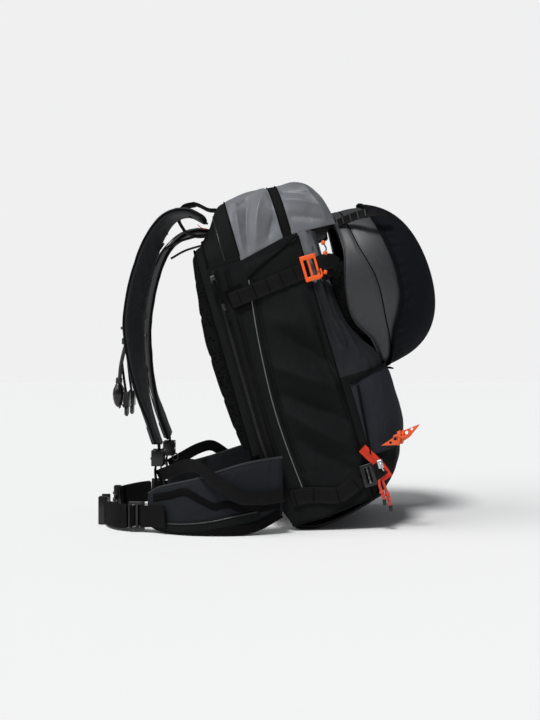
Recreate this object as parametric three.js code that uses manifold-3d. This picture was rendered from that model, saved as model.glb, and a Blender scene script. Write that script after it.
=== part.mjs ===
/**
 * Avalanche airbag backpack, standing on its base corner and on its hip wings, with a helmet carried in its holder.
 *
 * Units are millimetres. +Z is up, +X points from the wearer to the front of the pack, and -Y is the
 * wearer's left. The origin is the bottom centre of the whole object.
 * The bag is drawn in its own upright frame: x is the depth from the back panel, z runs up along the
 * back, and the whole bag leans back by LEAN_DEG about the rear corner of its base.
 */
import * as THREE from 'three';
import { mergeVertices } from 'three/addons/utils/BufferGeometryUtils.js';
import Module from 'manifold-3d';

const wasm = await Module();
wasm.setup();

// Driving dimensions
const LEAN_DEG = 16;
const CORNER_X = 54;
const GAP = 0.4;

const BAG = {
  rear: -36,
  seam: 117,
  bottom: 10,
  halfWidth: 126,
  topHalfWidth: 116,
  hoodEdge: 432,
  fabric: 3,
};
const DOOR = { bottom: 130, top: 478, halfWidth: 104, sheet: 2.5 };
const HELMET = { x: 151.7, z: 388.3, tiltDeg: 20, crown: 117, halfLength: 134, halfWidth: 105, shell: 2.5 };
const WING = { length: 210, thickness: 13, rootX: 20 };
const STRAP = { width: 62, thickness: 11, y: 76, twistDeg: 24 };
const WEBBING = { wide: 38, mid: 25, narrow: 20, slim: 15, thickness: 1.8 };

// Finishes
const FINISHES = {
  charcoal_fabric: [0x232425, 0.85, 0],
  coated_fabric: [0x4b4d50, 0.4, 0],
  stretch_fabric: [0x2c2f36, 0.8, 0],
  wing_fabric: [0x2f3136, 0.75, 0],
  strap_fabric: [0x26272a, 0.55, 0],
  holder_fabric: [0x17181b, 0.85, 0],
  foam_mesh: [0x1b1c1e, 0.9, 0],
  black_webbing: [0x141415, 0.7, 0],
  black_plastic: [0x121213, 0.45, 0],
  orange_metal: [0xe8541a, 0.35, 0.6],
  orange_plastic: [0xef5a22, 0.5, 0],
  red_cord: [0xd9301c, 0.7, 0],
  helmet_shell: [0x3b3d40, 0.6, 0],
  helmet_foam: [0x141416, 0.9, 0],
  airbag_fabric: [0xe24a1c, 0.6, 0],
  sheet_plastic: [0x2b2c2e, 0.5, 0],
  aluminium: [0xb9bcc0, 0.35, 0.9],
  power_plastic: [0x2a2b2d, 0.5, 0],
};

// Frames: the whole model, the leaning bag, and the helmet turned crown outwards
const model = new THREE.Group();
const bag = new THREE.Group();
bag.position.set(CORNER_X, 0, 0);
bag.rotation.y = -THREE.MathUtils.degToRad(LEAN_DEG);
const helmet = new THREE.Group();
helmet.position.set(HELMET.x, 0, HELMET.z);
helmet.rotation.y = -THREE.MathUtils.degToRad(HELMET.tiltDeg);
model.add(bag, helmet);

function add(group, name, finish, geometry) {
  const [color, roughness, metalness] = FINISHES[finish];
  const mesh = new THREE.Mesh(geometry, new THREE.MeshStandardMaterial({ color, roughness, metalness }));
  mesh.name = name;
  group.add(mesh);
}

// Each pair is modelled on the wearer's left (-Y) and mirrored to the right.
function addPair(group, name, finish, geometry) {
  add(group, `${name}_left`, finish, geometry);
  add(group, `${name}_right`, finish, mirrored(geometry));
}

// Geometry helpers

const clamp01 = (x) => Math.min(1, Math.max(0, x));
const mix = THREE.MathUtils.lerp;
const rad = THREE.MathUtils.degToRad;
const vec = (p) => new THREE.Vector3(...p);

function signedVolume(points, faces) {
  const volumes = faces.map(([a, b, c]) => points[a].dot(points[b].clone().cross(points[c])));
  return volumes.reduce((sum, v) => sum + v, 0);
}

/** A geometry from points and triangles, turned so that its faces point out. */
function solid(points, faces) {
  const outward = signedVolume(points, faces) > 0;
  const order = outward ? faces : faces.map(([a, b, c]) => [a, c, b]);
  const geometry = new THREE.BufferGeometry();
  geometry.setAttribute('position', new THREE.Float32BufferAttribute(points.flatMap((p) => p.toArray()), 3));
  geometry.setIndex(order.flat());
  return geometry;
}

function mirrored(geometry) {
  const copy = geometry.clone();
  copy.scale(1, -1, 1);
  const index = Array.from(copy.index.array);
  for (let i = 0; i < index.length; i += 3) {
    [index[i + 1], index[i + 2]] = [index[i + 2], index[i + 1]];
  }
  copy.setIndex(index);
  return copy;
}

/** The closed solid between the sheet point(s, t) and the same sheet moved by thickness along its normal. */
function sheet(point, columns, rows, thickness) {
  const step = 1e-3;
  const points = [];
  const at = (s, t) => vec(point(clamp01(s), clamp01(t)));
  const grid = [];
  for (let i = 0; i <= columns; i += 1) {
    for (let j = 0; j <= rows; j += 1) {
      grid.push([i / columns, j / rows]);
    }
  }
  grid.forEach(([s, t]) => points.push(at(s, t)));
  grid.forEach(([s, t], n) => {
    const across = at(s + step, t).sub(at(s - step, t));
    const along = at(s, t + step).sub(at(s, t - step));
    const normal = across.cross(along).normalize();
    points.push(points[n].clone().addScaledVector(normal, -thickness));
  });
  const count = grid.length;
  const id = (i, j) => i * (rows + 1) + j;
  const faces = [];
  const quad = (a, b, c, d) => faces.push([a, b, c], [a, c, d]);
  for (let i = 0; i < columns; i += 1) {
    for (let j = 0; j < rows; j += 1) {
      const [a, b, c, d] = [id(i, j), id(i + 1, j), id(i + 1, j + 1), id(i, j + 1)];
      quad(a, b, c, d);
      quad(count + d, count + c, count + b, count + a);
    }
  }
  const rim = [];
  for (let i = 0; i < columns; i += 1) rim.push(id(i, 0));
  for (let j = 0; j < rows; j += 1) rim.push(id(columns, j));
  for (let i = columns; i > 0; i -= 1) rim.push(id(i, rows));
  for (let j = rows; j > 0; j -= 1) rim.push(id(0, j));
  rim.forEach((a, n) => {
    const b = rim[(n + 1) % rim.length];
    quad(b, a, count + a, count + b);
  });
  return solid(points, faces);
}

/** A convex section swept along a smooth curve; across(t) gives the direction of the section's first axis. */
function sweep(path, section, steps, across) {
  const curve = new THREE.CatmullRomCurve3(path.map(vec), false, 'centripetal');
  const points = [];
  const faces = [];
  const sides = section.length;
  for (let i = 0; i <= steps; i += 1) {
    const t = i / steps;
    const centre = curve.getPointAt(t);
    const tangent = curve.getTangentAt(t);
    const wide = vec(across(t));
    wide.addScaledVector(tangent, -wide.dot(tangent)).normalize();
    const normal = tangent.clone().cross(wide);
    section.forEach(([a, b]) => {
      points.push(centre.clone().addScaledVector(wide, a).addScaledVector(normal, b));
    });
  }
  for (let i = 0; i < steps; i += 1) {
    for (let k = 0; k < sides; k += 1) {
      const [a, b] = [i * sides + k, i * sides + ((k + 1) % sides)];
      faces.push([a, b, b + sides], [a, b + sides, a + sides]);
    }
  }
  const last = steps * sides;
  for (let k = 1; k < sides - 1; k += 1) {
    faces.push([0, k + 1, k], [last, last + k, last + k + 1]);
  }
  return solid(points, faces);
}

function roundedStrip(width, thickness, corner) {
  const [w, h] = [width / 2, thickness / 2];
  return [
    [-w + corner, -h], [w - corner, -h], [w, -h + corner], [w, h - corner],
    [w - corner, h], [-w + corner, h], [-w, h - corner], [-w, -h + corner],
  ];
}

function strip(width, thickness) {
  const [w, h] = [width / 2, thickness / 2];
  return [[-w, -h], [w, -h], [w, h], [-w, h]];
}

function circle(radius, sides) {
  return Array.from({ length: sides }, (_, k) => {
    const angle = (2 * Math.PI * k) / sides;
    return [radius * Math.cos(angle), radius * Math.sin(angle)];
  });
}

const sideways = () => [0, 1, 0];

function ribbon(path, width, thickness, steps, across = sideways) {
  return sweep(path, strip(width, thickness), steps, across);
}

function cord(path, radius, steps, sides = 8) {
  return sweep(path, circle(radius, sides), steps, () => [0.13, 1, 0.21]);
}

function box(size, centre) {
  const geometry = welded(new THREE.BoxGeometry(...size));
  geometry.translate(...centre);
  return geometry;
}

function welded(geometry) {
  geometry.deleteAttribute('normal');
  geometry.deleteAttribute('uv');
  return mergeVertices(geometry, 1e-4);
}

/** An outline in the X-Z plane extruded along Y from y0 to y1. */
function plateXZ(outline, y0, y1) {
  const shape = new THREE.Shape(outline.map(([x, z]) => new THREE.Vector2(x, z)));
  const geometry = welded(new THREE.ExtrudeGeometry(shape, { depth: y1 - y0, bevelEnabled: false }));
  geometry.rotateX(Math.PI / 2);
  geometry.translate(0, y1, 0);
  return geometry;
}

/** A rectangular frame or ladder bar: a block from low to high corner, with windows cut through along Y. */
function frameXZ([x0, z0], [x1, z1], y0, y1, windows) {
  const block = box([x1 - x0, y1 - y0, z1 - z0], [(x0 + x1) / 2, (y0 + y1) / 2, (z0 + z1) / 2]);
  const deep = y1 - y0 + 2;
  const tools = windows.map(([wx0, wz0, wx1, wz1]) => (
    box([wx1 - wx0, deep, wz1 - wz0], [(wx0 + wx1) / 2, (y0 + y1) / 2, (wz0 + wz1) / 2])
  ));
  return cut(block, ...tools);
}

function toManifold(geometry) {
  const vertProperties = new Float32Array(geometry.attributes.position.array);
  const triVerts = new Uint32Array(geometry.index.array);
  return new wasm.Manifold(new wasm.Mesh({ numProp: 3, vertProperties, triVerts }));
}

function fromManifold(manifold) {
  const mesh = manifold.getMesh();
  const geometry = new THREE.BufferGeometry();
  geometry.setAttribute('position', new THREE.Float32BufferAttribute(mesh.vertProperties, 3));
  geometry.setIndex(Array.from(mesh.triVerts));
  return geometry;
}

function joined(...geometries) {
  return fromManifold(geometries.map(toManifold).reduce((a, b) => a.add(b)));
}

function cut(geometry, ...tools) {
  return fromManifold(tools.map(toManifold).reduce((a, b) => a.subtract(b), toManifold(geometry)));
}

/** A smooth height profile through [position, height] pairs. */
function heightProfile(pairs) {
  return (x) => {
    if (x <= pairs[0][0]) return pairs[0][1];
    const next = pairs.findIndex(([p]) => p >= x);
    if (next < 0) return pairs[pairs.length - 1][1];
    const [[x0, z0], [x1, z1]] = [pairs[next - 1], pairs[next]];
    const f = (x - x0) / (x1 - x0);
    const [before, after] = [pairs[Math.max(next - 2, 0)], pairs[Math.min(next + 1, pairs.length - 1)]];
    const slope0 = ((z1 - before[1]) / (x1 - before[0])) * (x1 - x0);
    const slope1 = ((after[1] - z0) / (after[0] - x0)) * (x1 - x0);
    const [f2, f3] = [f * f, f * f * f];
    return (2 * f3 - 3 * f2 + 1) * z0 + (f3 - 2 * f2 + f) * slope0
      + (-2 * f3 + 3 * f2) * z1 + (f3 - f2) * slope1;
  };
}

// The bag's shape, in its own upright frame

const bagHalfWidth = (z) => mix(BAG.halfWidth, BAG.topHalfWidth, clamp01((z - 200) / 230));
const rearEdge = (z) => BAG.rear + 20 * clamp01((70 - z) / 55);
const lowerEdge = (x) => BAG.bottom + 9 * clamp01((x - 40) / 76);
const hoodEdge = (x) => BAG.hoodEdge + 18 * clamp01((x - 20) / 80);
const hoodTop = heightProfile([
  [-34, 490], [-16, 508], [2, 536], [16, 545], [38, 549], [70, 550], [110, 548], [148, 539], [168, 524], [178, 500], [182, 466],
]);
const frontDepth = heightProfile([
  [16, 134], [41, 167], [69, 185], [102, 195], [125, 198], [160, 198], [211, 199], [240, 192], [268, 174], [310, 158],
  [445, 150],
]);
const signedPower = (x, p) => Math.sign(x) * Math.abs(x) ** p;

/** A point on the arched top of the bag: depth x, and an angle from the left edge (-1) to the right (1). */
function hoodPoint(x, turn) {
  const angle = (turn * Math.PI) / 2;
  const narrow = 1 - 0.16 * clamp01((x - 120) / 64) ** 2;
  const y = BAG.topHalfWidth * narrow * Math.sin(angle);
  const z = hoodEdge(x) + (hoodTop(x) - hoodEdge(x)) * Math.cos(angle) ** 0.7;
  return [x, y, z];
}

const COLLAR_FRONT = 19.7;
const sideCrown = (x, z) => 5 * Math.sin(Math.PI * clamp01((x - 20) / 97)) * Math.sin(Math.PI * clamp01(z / 440));

/** The side runs from the back panel's edge (s = 0) over the gusset's piping to the front seam (s = 1). */
const sidePanelPoint = (s, t) => {
  const height = mix(BAG.bottom, BAG.hoodEdge, t);
  const x = mix(rearEdge(height), BAG.seam - GAP, s);
  const z = mix(lowerEdge(x), hoodEdge(x) - 4, t);
  return [x, -bagHalfWidth(z) - sideCrown(x, z), z];
};

/** The front wraps from the left seam (s = 0) round to the right seam (s = 1). */
const wrapPoint = (s, z, proud) => {
  const angle = Math.PI * (s - 0.5);
  const depth = frontDepth(z) + proud - BAG.seam;
  const y = signedPower(Math.sin(angle), 0.62) * (bagHalfWidth(z) + proud);
  return [BAG.seam + depth * Math.cos(angle) ** 0.62, y, z];
};

function bagShell() {
  addPair(bag, 'side_panel', 'charcoal_fabric', sheet(sidePanelPoint, 7, 7, BAG.fabric));
  const front = (s, t) => wrapPoint(mix(0.0015, 0.9985, s), mix(22, 446, t), 0);
  add(bag, 'front_panel', 'charcoal_fabric', sheet(front, 16, 12, BAG.fabric));
  const hood = (from, to) => (s, t) => hoodPoint(mix(from, to, s), mix(-1, 1, t));
  const rearHoodEnd = 94.5;
  const bandEnd = 108;
  add(bag, 'collar', 'charcoal_fabric', sheet(hood(BAG.rear + 2, COLLAR_FRONT), 3, 12, BAG.fabric));
  add(bag, 'rear_hood', 'coated_fabric', sheet(hood(COLLAR_FRONT + GAP, rearHoodEnd), 4, 14, BAG.fabric));
  add(bag, 'hood_band', 'black_webbing', sheet(hood(rearHoodEnd + GAP, bandEnd), 1, 14, BAG.fabric));
  add(bag, 'front_hood', 'coated_fabric', sheet(hood(bandEnd + GAP, 182), 6, 14, BAG.fabric));
}

function basePanel() {
  const outer = [[30, 16], [42, 0], [68, 0], [115, 16], [178, 52]];
  const inner = [[176, 56], [113.5, 20], [67, 4], [44.5, 4], [33.5, 18]];
  add(model, 'base_panel', 'charcoal_fabric', plateXZ([...outer, ...inner], -120, 120));
}

function frontPocket() {
  const pocket = (s, t) => {
    const z = mix(86, 192, t);
    return wrapPoint(mix(0.07, 0.93, s), z, 4 + 3 * Math.sin(Math.PI * t) + 3);
  };
  add(bag, 'front_pocket', 'stretch_fabric', sheet(pocket, 12, 4, 2.5));
}

function lumbarPanel() {
  add(bag, 'lumbar_panel', 'charcoal_fabric', box([4, 220, 58], [-38.5, 0, 95]));
  const pad = (s, t) => {
    const [y, z] = [mix(-72, 72, s), mix(48, 124, t)];
    return [-58 - 7 * Math.sin(Math.PI * s) ** 0.5 * Math.sin(Math.PI * t) ** 0.5, y, z];
  };
  add(bag, 'lumbar_pad', 'foam_mesh', sheet(pad, 6, 4, -14));
}

// The back panel: a door that carries the pad, a frame sheet and two stays

function doorHalfWidth(z) {
  const up = clamp01((z - 400) / (DOOR.top - 400));
  return DOOR.halfWidth * Math.sqrt(1 - 0.72 * up * up);
}

const padBack = heightProfile([[132, -58], [200, -66], [330, -70], [420, -60], [482, -52]]);

function backPanel() {
  const flat = (depth) => (s, t) => {
    const z = mix(DOOR.bottom, DOOR.top, t);
    return [depth, mix(-1, 1, s) * doorHalfWidth(z), z];
  };
  add(bag, 'frame_sheet', 'sheet_plastic', sheet(flat(-38.5), 2, 8, DOOR.sheet));
  const stay = box([3, 14, 318], [-42.9, -48, 300]);
  addPair(bag, 'stay', 'aluminium', stay);
  const pad = (s, t) => {
    const z = mix(DOOR.bottom + 4, DOOR.top - 2, t);
    const side = mix(-1, 1, s);
    const back = padBack(z) + 8 * Math.abs(side) ** 4;
    return [back, side * (doorHalfWidth(z) - 2), z];
  };
  const face = sheet(pad, 8, 12, -1);
  add(bag, 'back_pad', 'foam_mesh', filledTo(face, 9, 13, -45.5));
}

/** Pulls the second skin of a sheet solid flat onto the plane x = depth, which turns a sheet into a pad. */
function filledTo(geometry, columns, rows, depth) {
  const position = geometry.attributes.position;
  for (let i = columns * rows; i < position.count; i += 1) {
    const face = i - columns * rows;
    position.setXYZ(i, depth, position.getY(face), position.getZ(face));
  }
  return geometry;
}

function zipSlider() {
  const body = box([8, 5, 12], [-29, -131.5, 415]);
  const puller = ribbon([[-29, -135, 413], [-27, -136, 395], [-24, -135, 372]], 6, 2, 3, () => [1, 0, 0]);
  add(bag, 'back_zip_slider', 'black_plastic', joined(body, puller));
}

// Inside: airbag, blower, power unit and electronics

function airbagSystem() {
  const folds = [
    [16, 456], [12, 500], [30, 514], [60, 519], [95, 517], [135, 506], [158, 486], [164, 466], [156, 457],
  ];
  add(bag, 'airbag_folded', 'airbag_fabric', plateXZ(folds, -60, 60));
  const casing = [
    [20, 0], [46, 0], [48, 4], [48, 32], [46, 36], [20, 36], [20, 33], [44, 33], [44, 3], [20, 3], [20, 0],
  ].map(([r, h]) => new THREE.Vector2(r, h));
  const housing = welded(new THREE.LatheGeometry(casing, 24));
  housing.rotateX(Math.PI / 2);
  housing.translate(66, 0, 398);
  add(bag, 'blower_housing', 'black_plastic', housing);
  const hub = welded(new THREE.CylinderGeometry(12, 14, 26, 16));
  hub.rotateX(Math.PI / 2);
  const blades = Array.from({ length: 8 }, (_, k) => {
    const blade = box([28, 2, 22], [26, 0, 0]);
    blade.rotateZ((k * Math.PI) / 4);
    return blade;
  });
  const impeller = joined(hub, ...blades);
  impeller.translate(66, 0, 416);
  add(bag, 'impeller', 'black_plastic', impeller);
  add(bag, 'power_unit', 'power_plastic', box([32, 120, 110], [-8, 0, 120]));
  add(bag, 'control_box', 'black_plastic', box([26, 34, 46], [0, 82, 396]));
  const run = [[-24, -52, 470], [-14, -40, 455], [-12, 0, 445], [-10, 50, 440], [-4, 74, 434], [0, 82, 424]];
  add(bag, 'trigger_cable', 'black_webbing', cord(run, 2.5, 20));
}

// Webbing on the bag

function sideStraps() {
  const rise = (x) => 378 + (x - 4) * 0.115;
  const outer = (x, z) => -(bagHalfWidth(z) + sideCrown(x, z) + 3.4);
  const along = (from, to, height) => [0, 0.25, 0.5, 0.75, 1].map((f) => {
    const x = mix(from, to, f);
    return [x, outer(x, height(x)), height(x)];
  });
  const upright = () => [0, 0, 1];
  const rear = ribbon(along(-12, 108, rise), WEBBING.mid, WEBBING.thickness, 10, upright);
  addPair(bag, 'upper_strap', 'black_webbing', rear);
  const low = (x) => 54 + (x - 9) * 0.03;
  const lower = ribbon(along(-6, 106, low), WEBBING.mid, WEBBING.thickness, 8, upright);
  addPair(bag, 'lower_strap', 'black_webbing', lower);
}

function sideHooks() {
  const upper = frameXZ([110, 372], [133, 411], -126, -123, [[114, 378, 119, 405], [123, 378, 129, 405]]);
  addPair(bag, 'upper_hook', 'orange_metal', upper);
  const lower = frameXZ([109, 40], [129, 74], -136, -132, [[115, 44, 123, 70]]);
  addPair(bag, 'lower_hook', 'black_plastic', lower);
}

function haulLoop() {
  const arc = [
    [-25, 0, 503.5], [-42, 0, 508], [-58, 0, 522], [-62, 0, 544], [-48, 0, 560], [-28, 0, 560], [-8, 0, 544], [3, 0, 541.5],
  ];
  add(bag, 'haul_loop', 'black_webbing', ribbon(arc, 24, 4, 16));
}

// Harness

const STRAP_PATH = [
  [-106, 492], [-132, 504], [-160, 498], [-186, 466], [-208, 404], [-221, 331], [-217, 266], [-206, 209],
  [-191, 161], [-180, 130],
];

function strapPath(drop) {
  return STRAP_PATH.map(([x, z], i) => {
    const lower = drop * Math.sin((Math.PI * clamp01(i / 4)));
    return [x, -STRAP.y + 10 * Math.sin((Math.PI * i) / 9), z - lower];
  });
}

function shoulderStraps() {
  const section = roundedStrip(STRAP.width, STRAP.thickness, 4);
  const across = (t) => {
    const twist = rad(STRAP.twistDeg * Math.sin(Math.PI * clamp01(t * 1.1)));
    return [-Math.sin(twist), -Math.cos(twist), 0];
  };
  const left = sweep(strapPath(0), section, 22, across);
  add(model, 'shoulder_strap_left', 'strap_fabric', left);
  add(model, 'shoulder_strap_right', 'strap_fabric', mirrored(sweep(strapPath(16), section, 22, across)));
  const lock = frameXZ([-190, 96], [-170, 122], -92, -64, [[-186, 101, -174, 116]]);
  addPair(model, 'ladder_lock', 'black_plastic', lock);
  const lifter = ribbon([[-175, -58, 445], [-150, -58, 459], [-114, -58, 470]], WEBBING.slim, WEBBING.thickness, 4);
  addPair(model, 'load_lifter', 'black_webbing', lifter);
  const route = [
    [-180, -78, 79], [-162, -104, 88], [-130, -140, 103], [-108, -168, 104], [-80, -182, 84], [-46, -184, 64],
    [-10, -174, 58], [20, -160, 60],
  ];
  const lower = ribbon(route, WEBBING.narrow, WEBBING.thickness, 16, (t) => [0, -0.5 + t, 1]);
  addPair(model, 'lower_webbing', 'black_webbing', lower);
}

function chestStrap() {
  const route = [[-238, -36, 300], [-246, -32, 270], [-244, -30, 240], [-240, -29, 212]];
  const webbing = ribbon(route, WEBBING.slim, WEBBING.thickness, 6);
  const buckle = box([10, 24, 40], [-239, -29, 193]);
  addPair(model, 'chest_strap', 'black_webbing', joined(webbing, buckle));
  const handle = new THREE.SphereGeometry(1, 12, 8);
  handle.scale(9, 11, 21);
  handle.translate(-241, -98, 212);
  add(model, 'trigger_handle', 'black_plastic', welded(handle));
}

// Hip belt

const wingOuter = heightProfile([[0, 150], [70, 168], [140, 166], [210, 138]]);
const wingTop = heightProfile([[0, 117], [60, 108], [130, 86], [190, 70], [210, 58]]);
const wingBottom = heightProfile([[0, 24], [35, 6], [60, 0], [110, 0], [170, 0], [195, 3], [210, 12]]);

function hipBelt() {
  const wing = (s, t) => {
    const along = s * WING.length;
    return [WING.rootX - along, -wingOuter(along), mix(Math.max(wingBottom(along), 0), wingTop(along), t)];
  };
  addPair(model, 'hip_wing', 'wing_fabric', sheet(wing, 14, 2, -WING.thickness));
  const adjuster = frameXZ([-219, 3], [-194, 47], -137, -131, [[-214, 8, -208, 42], [-204, 8, -198, 42]]);
  addPair(model, 'belt_adjuster', 'black_plastic', adjuster);
  const route = [[-222, -133, 24], [-240, -121, 23], [-256, -101, 22], [-266, -78, 22]];
  const webbing = ribbon(route, WEBBING.wide, 2.4, 8, () => [0, 0, 1]);
  addPair(model, 'belt_webbing', 'black_webbing', webbing);
  const socket = cut(box([14, 36, 44], [-271, -56, 22.5]), box([8, 26, 34], [-271, -50, 22.5]));
  add(model, 'belt_buckle_left', 'black_plastic', socket);
  const tongue = joined(box([12, 14, 42], [-271, 67, 22.5]), box([6, 26, 26], [-271, 51, 22.5]));
  add(model, 'belt_buckle_right', 'black_plastic', tongue);
}

// Helmet and its holder. The helmet frame's x axis points out through the crown.

/** How far the helmet's rim reaches down at a point round it: most over the ears. */
const earDrop = heightProfile([[-0.8, 0], [-0.62, 18], [-0.38, 32], [0.05, 30], [0.45, 10], [0.75, 0]]);

function dome(crown, halfWidth, halfLength, wall, from, to) {
  const arc = (shrink, reversed) => {
    const count = 9;
    return Array.from({ length: count + 1 }, (_, k) => {
      const f = reversed ? 1 - k / count : k / count;
      const angle = mix(rad(from), rad(to), f);
      const blunt = 1 + 0.06 * Math.sin(2 * angle) ** 2;
      const [r, h] = [Math.cos(angle) * blunt, Math.sin(angle) * blunt];
      return [Math.max(r * (halfWidth - shrink), 0), h * (crown - shrink)];
    });
  };
  const profile = [...arc(0, true), ...arc(wall, false)].map(([r, h]) => new THREE.Vector2(r, h));
  profile[0].x = 0;
  profile[profile.length - 1].x = 0;
  const geometry = new THREE.LatheGeometry(profile, 24);
  geometry.rotateZ(-Math.PI / 2);
  const merged = welded(geometry);
  const position = merged.attributes.position;
  for (let i = 0; i < position.count; i += 1) {
    const [x, y, z] = [position.getX(i), position.getY(i), position.getZ(i)];
    const way = z / Math.max(Math.hypot(y, z), 1e-6);
    position.setX(i, x - earDrop(way) * (1 - clamp01(x / 45)) ** 2);
    position.setZ(i, z * (halfLength / halfWidth));
  }
  return cleaned(merged);
}

/** Drops the triangles that have no area, such as those at a pole. */
function cleaned(geometry) {
  const index = Array.from(geometry.index.array);
  const kept = [];
  for (let i = 0; i < index.length; i += 3) {
    const [a, b, c] = index.slice(i, i + 3);
    if (a !== b && b !== c && a !== c) kept.push(a, b, c);
  }
  geometry.setIndex(kept);
  return solidFrom(geometry);
}

function solidFrom(geometry) {
  const position = geometry.attributes.position;
  const points = Array.from({ length: position.count }, (_, i) => new THREE.Vector3().fromBufferAttribute(position, i));
  const index = Array.from(geometry.index.array);
  const faces = Array.from({ length: index.length / 3 }, (_, i) => index.slice(3 * i, 3 * i + 3));
  return solid(points, faces);
}

function helmetAndHolder() {
  const { crown, halfWidth, halfLength, shell } = HELMET;
  add(helmet, 'helmet_shell', 'helmet_shell', dome(crown, halfWidth, halfLength, shell, -1, 90));
  const inside = shell + 1;
  add(helmet, 'helmet_liner', 'helmet_foam',
    dome(crown - inside, halfWidth - inside, halfLength - inside - 1, 12, -3, 90));
  const proud = 3.4;
  add(helmet, 'helmet_holder', 'holder_fabric',
    dome(crown + proud, halfWidth + proud, halfLength + proud, 2.4, 24, 90));
  const chin = [[-24, -72, 30], [-32, -66, -10], [-24, -48, -52], [-20, -20, -70], [-20, 20, -70], [-24, 48, -52],
    [-32, 66, -10], [-24, 72, 30]];
  add(helmet, 'chin_strap', 'black_webbing', ribbon(chin, WEBBING.slim, WEBBING.thickness, 20, () => [1, 0, 0.2]));
  const tail = [[206, 0, 252], [199, 0, 254], [194, 0, 250], [193, 0, 243]];
  const ladder = [[110, -72, 487], [122, -76, 492], [140, -86, 498], [156, -94, 500]];
  addPair(model, 'ladder_strap', 'black_webbing', ribbon(ladder, 14, 2.5, 6, () => [-0.2, 0.3, 1]));
  add(model, 'holder_tail', 'holder_fabric', ribbon(tail, 60, 2.4, 4));
}

// Toggle and zip cords on the front

function toggleAndCords() {
  const outline = [[172, 134], [186, 143], [204, 156], [231, 167], [226, 160], [214, 146], [196, 135]];
  add(model, 'axe_toggle', 'orange_plastic', plateXZ(outline, -140, -137));
  const slider = box([10, 5, 14], [141, -129.5, 69]);
  add(bag, 'safety_zip_slider', 'aluminium', slider);
  const pull = [[172, -129, 88], [178, -129, 70], [185, -127, 50], [189, -126, 32]];
  add(model, 'zip_pull_cords', 'red_cord', cord(pull, 3, 10));
}

bagShell();
basePanel();
frontPocket();
lumbarPanel();
backPanel();
zipSlider();
airbagSystem();
sideStraps();
sideHooks();
haulLoop();
shoulderStraps();
chestStrap();
hipBelt();
helmetAndHolder();
toggleAndCords();

export default model;
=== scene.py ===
"""Looks of the avalanche airbag backpack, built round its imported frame.

The bag leans back on its base corner and rests on the ends of its hip wings. Each sub-assembly is a class that
makes its own pieces, dresses them and rides them on the frame's bodies. Sizes in the classes are millimetres,
as in the part's drawing, and become metres where a point is placed.
"""

import logging
import math
from contextlib import contextmanager
from dataclasses import dataclass
from enum import Enum
from typing import Callable, Iterable, Iterator, Sequence

import bpy
import numpy as np
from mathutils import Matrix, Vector, noise


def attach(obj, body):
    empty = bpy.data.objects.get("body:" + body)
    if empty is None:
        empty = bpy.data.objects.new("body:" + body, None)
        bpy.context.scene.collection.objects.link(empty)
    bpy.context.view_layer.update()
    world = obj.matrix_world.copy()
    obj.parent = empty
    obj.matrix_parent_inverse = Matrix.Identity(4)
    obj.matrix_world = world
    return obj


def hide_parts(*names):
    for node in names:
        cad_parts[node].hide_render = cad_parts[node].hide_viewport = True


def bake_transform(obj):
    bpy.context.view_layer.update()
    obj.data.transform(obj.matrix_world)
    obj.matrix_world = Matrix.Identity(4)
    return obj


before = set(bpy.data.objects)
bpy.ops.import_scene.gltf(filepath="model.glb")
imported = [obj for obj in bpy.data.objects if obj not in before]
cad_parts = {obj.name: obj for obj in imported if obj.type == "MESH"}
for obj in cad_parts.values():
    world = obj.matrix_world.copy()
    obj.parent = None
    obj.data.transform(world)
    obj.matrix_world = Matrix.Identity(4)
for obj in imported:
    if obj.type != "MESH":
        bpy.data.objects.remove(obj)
log = logging.getLogger("backpack")

MM = 0.001
Point = Sequence[float]
Surface = Callable[[float, float], Vector]
Piece = bpy.types.Object


class Side(Enum):
    """The wearer's left is on -Y, the right on +Y."""

    LEFT = -1
    RIGHT = 1

    @property
    def word(self) -> str:
        """The side's name as the frame's nodes and bodies write it."""
        return self.name.lower()

    def across(self, point: Point) -> tuple[float, float, float]:
        """A point drawn on the left, moved to this side."""
        return (point[0], -self.value * point[1], point[2])


# Numbers


def clamp01(x: float) -> float:
    """x held between 0 and 1."""
    return min(1.0, max(0.0, x))


def mix(a: float, b: float, t: float) -> float:
    """The value a share t of the way from a to b."""
    return a + (b - a) * t


def ease(x: float) -> float:
    """A smooth step from 0 to 1."""
    x = clamp01(x)
    return x * x * (3 - 2 * x)


def hump(x: float, middle: float, half: float) -> float:
    """1 at the middle, falling smoothly to 0 at half away from it."""
    return ease(1 - abs(x - middle) / half)


def signed_power(x: float, power: float) -> float:
    """x to a power, keeping its sign."""
    return math.copysign(abs(x) ** power, x)


def profile(pairs: Sequence[tuple[float, float]]) -> Callable[[float], float]:
    """A smooth height profile through pairs of position and height.

    Args:
        pairs: positions in rising order, each with its height.

    Returns:
        A function from position to height, level outside the pairs.
    """

    def height(x: float) -> float:
        """The profile's height at x."""
        if x <= pairs[0][0]:
            return pairs[0][1]
        if x >= pairs[-1][0]:
            return pairs[-1][1]
        n = next(i for i, pair in enumerate(pairs) if pair[0] >= x)
        (x0, z0), (x1, z1) = pairs[n - 1], pairs[n]
        before, after = pairs[max(n - 2, 0)], pairs[min(n + 1, len(pairs) - 1)]
        f = (x - x0) / (x1 - x0)
        slope0 = (z1 - before[1]) / (x1 - before[0]) * (x1 - x0)
        slope1 = (after[1] - z0) / (after[0] - x0) * (x1 - x0)
        f2, f3 = f * f, f * f * f
        rise = (f3 - 2 * f2 + f) * slope0 + (f3 - f2) * slope1
        return (2 * f3 - 3 * f2 + 1) * z0 + (3 * f2 - 2 * f3) * z1 + rise

    return height


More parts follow.
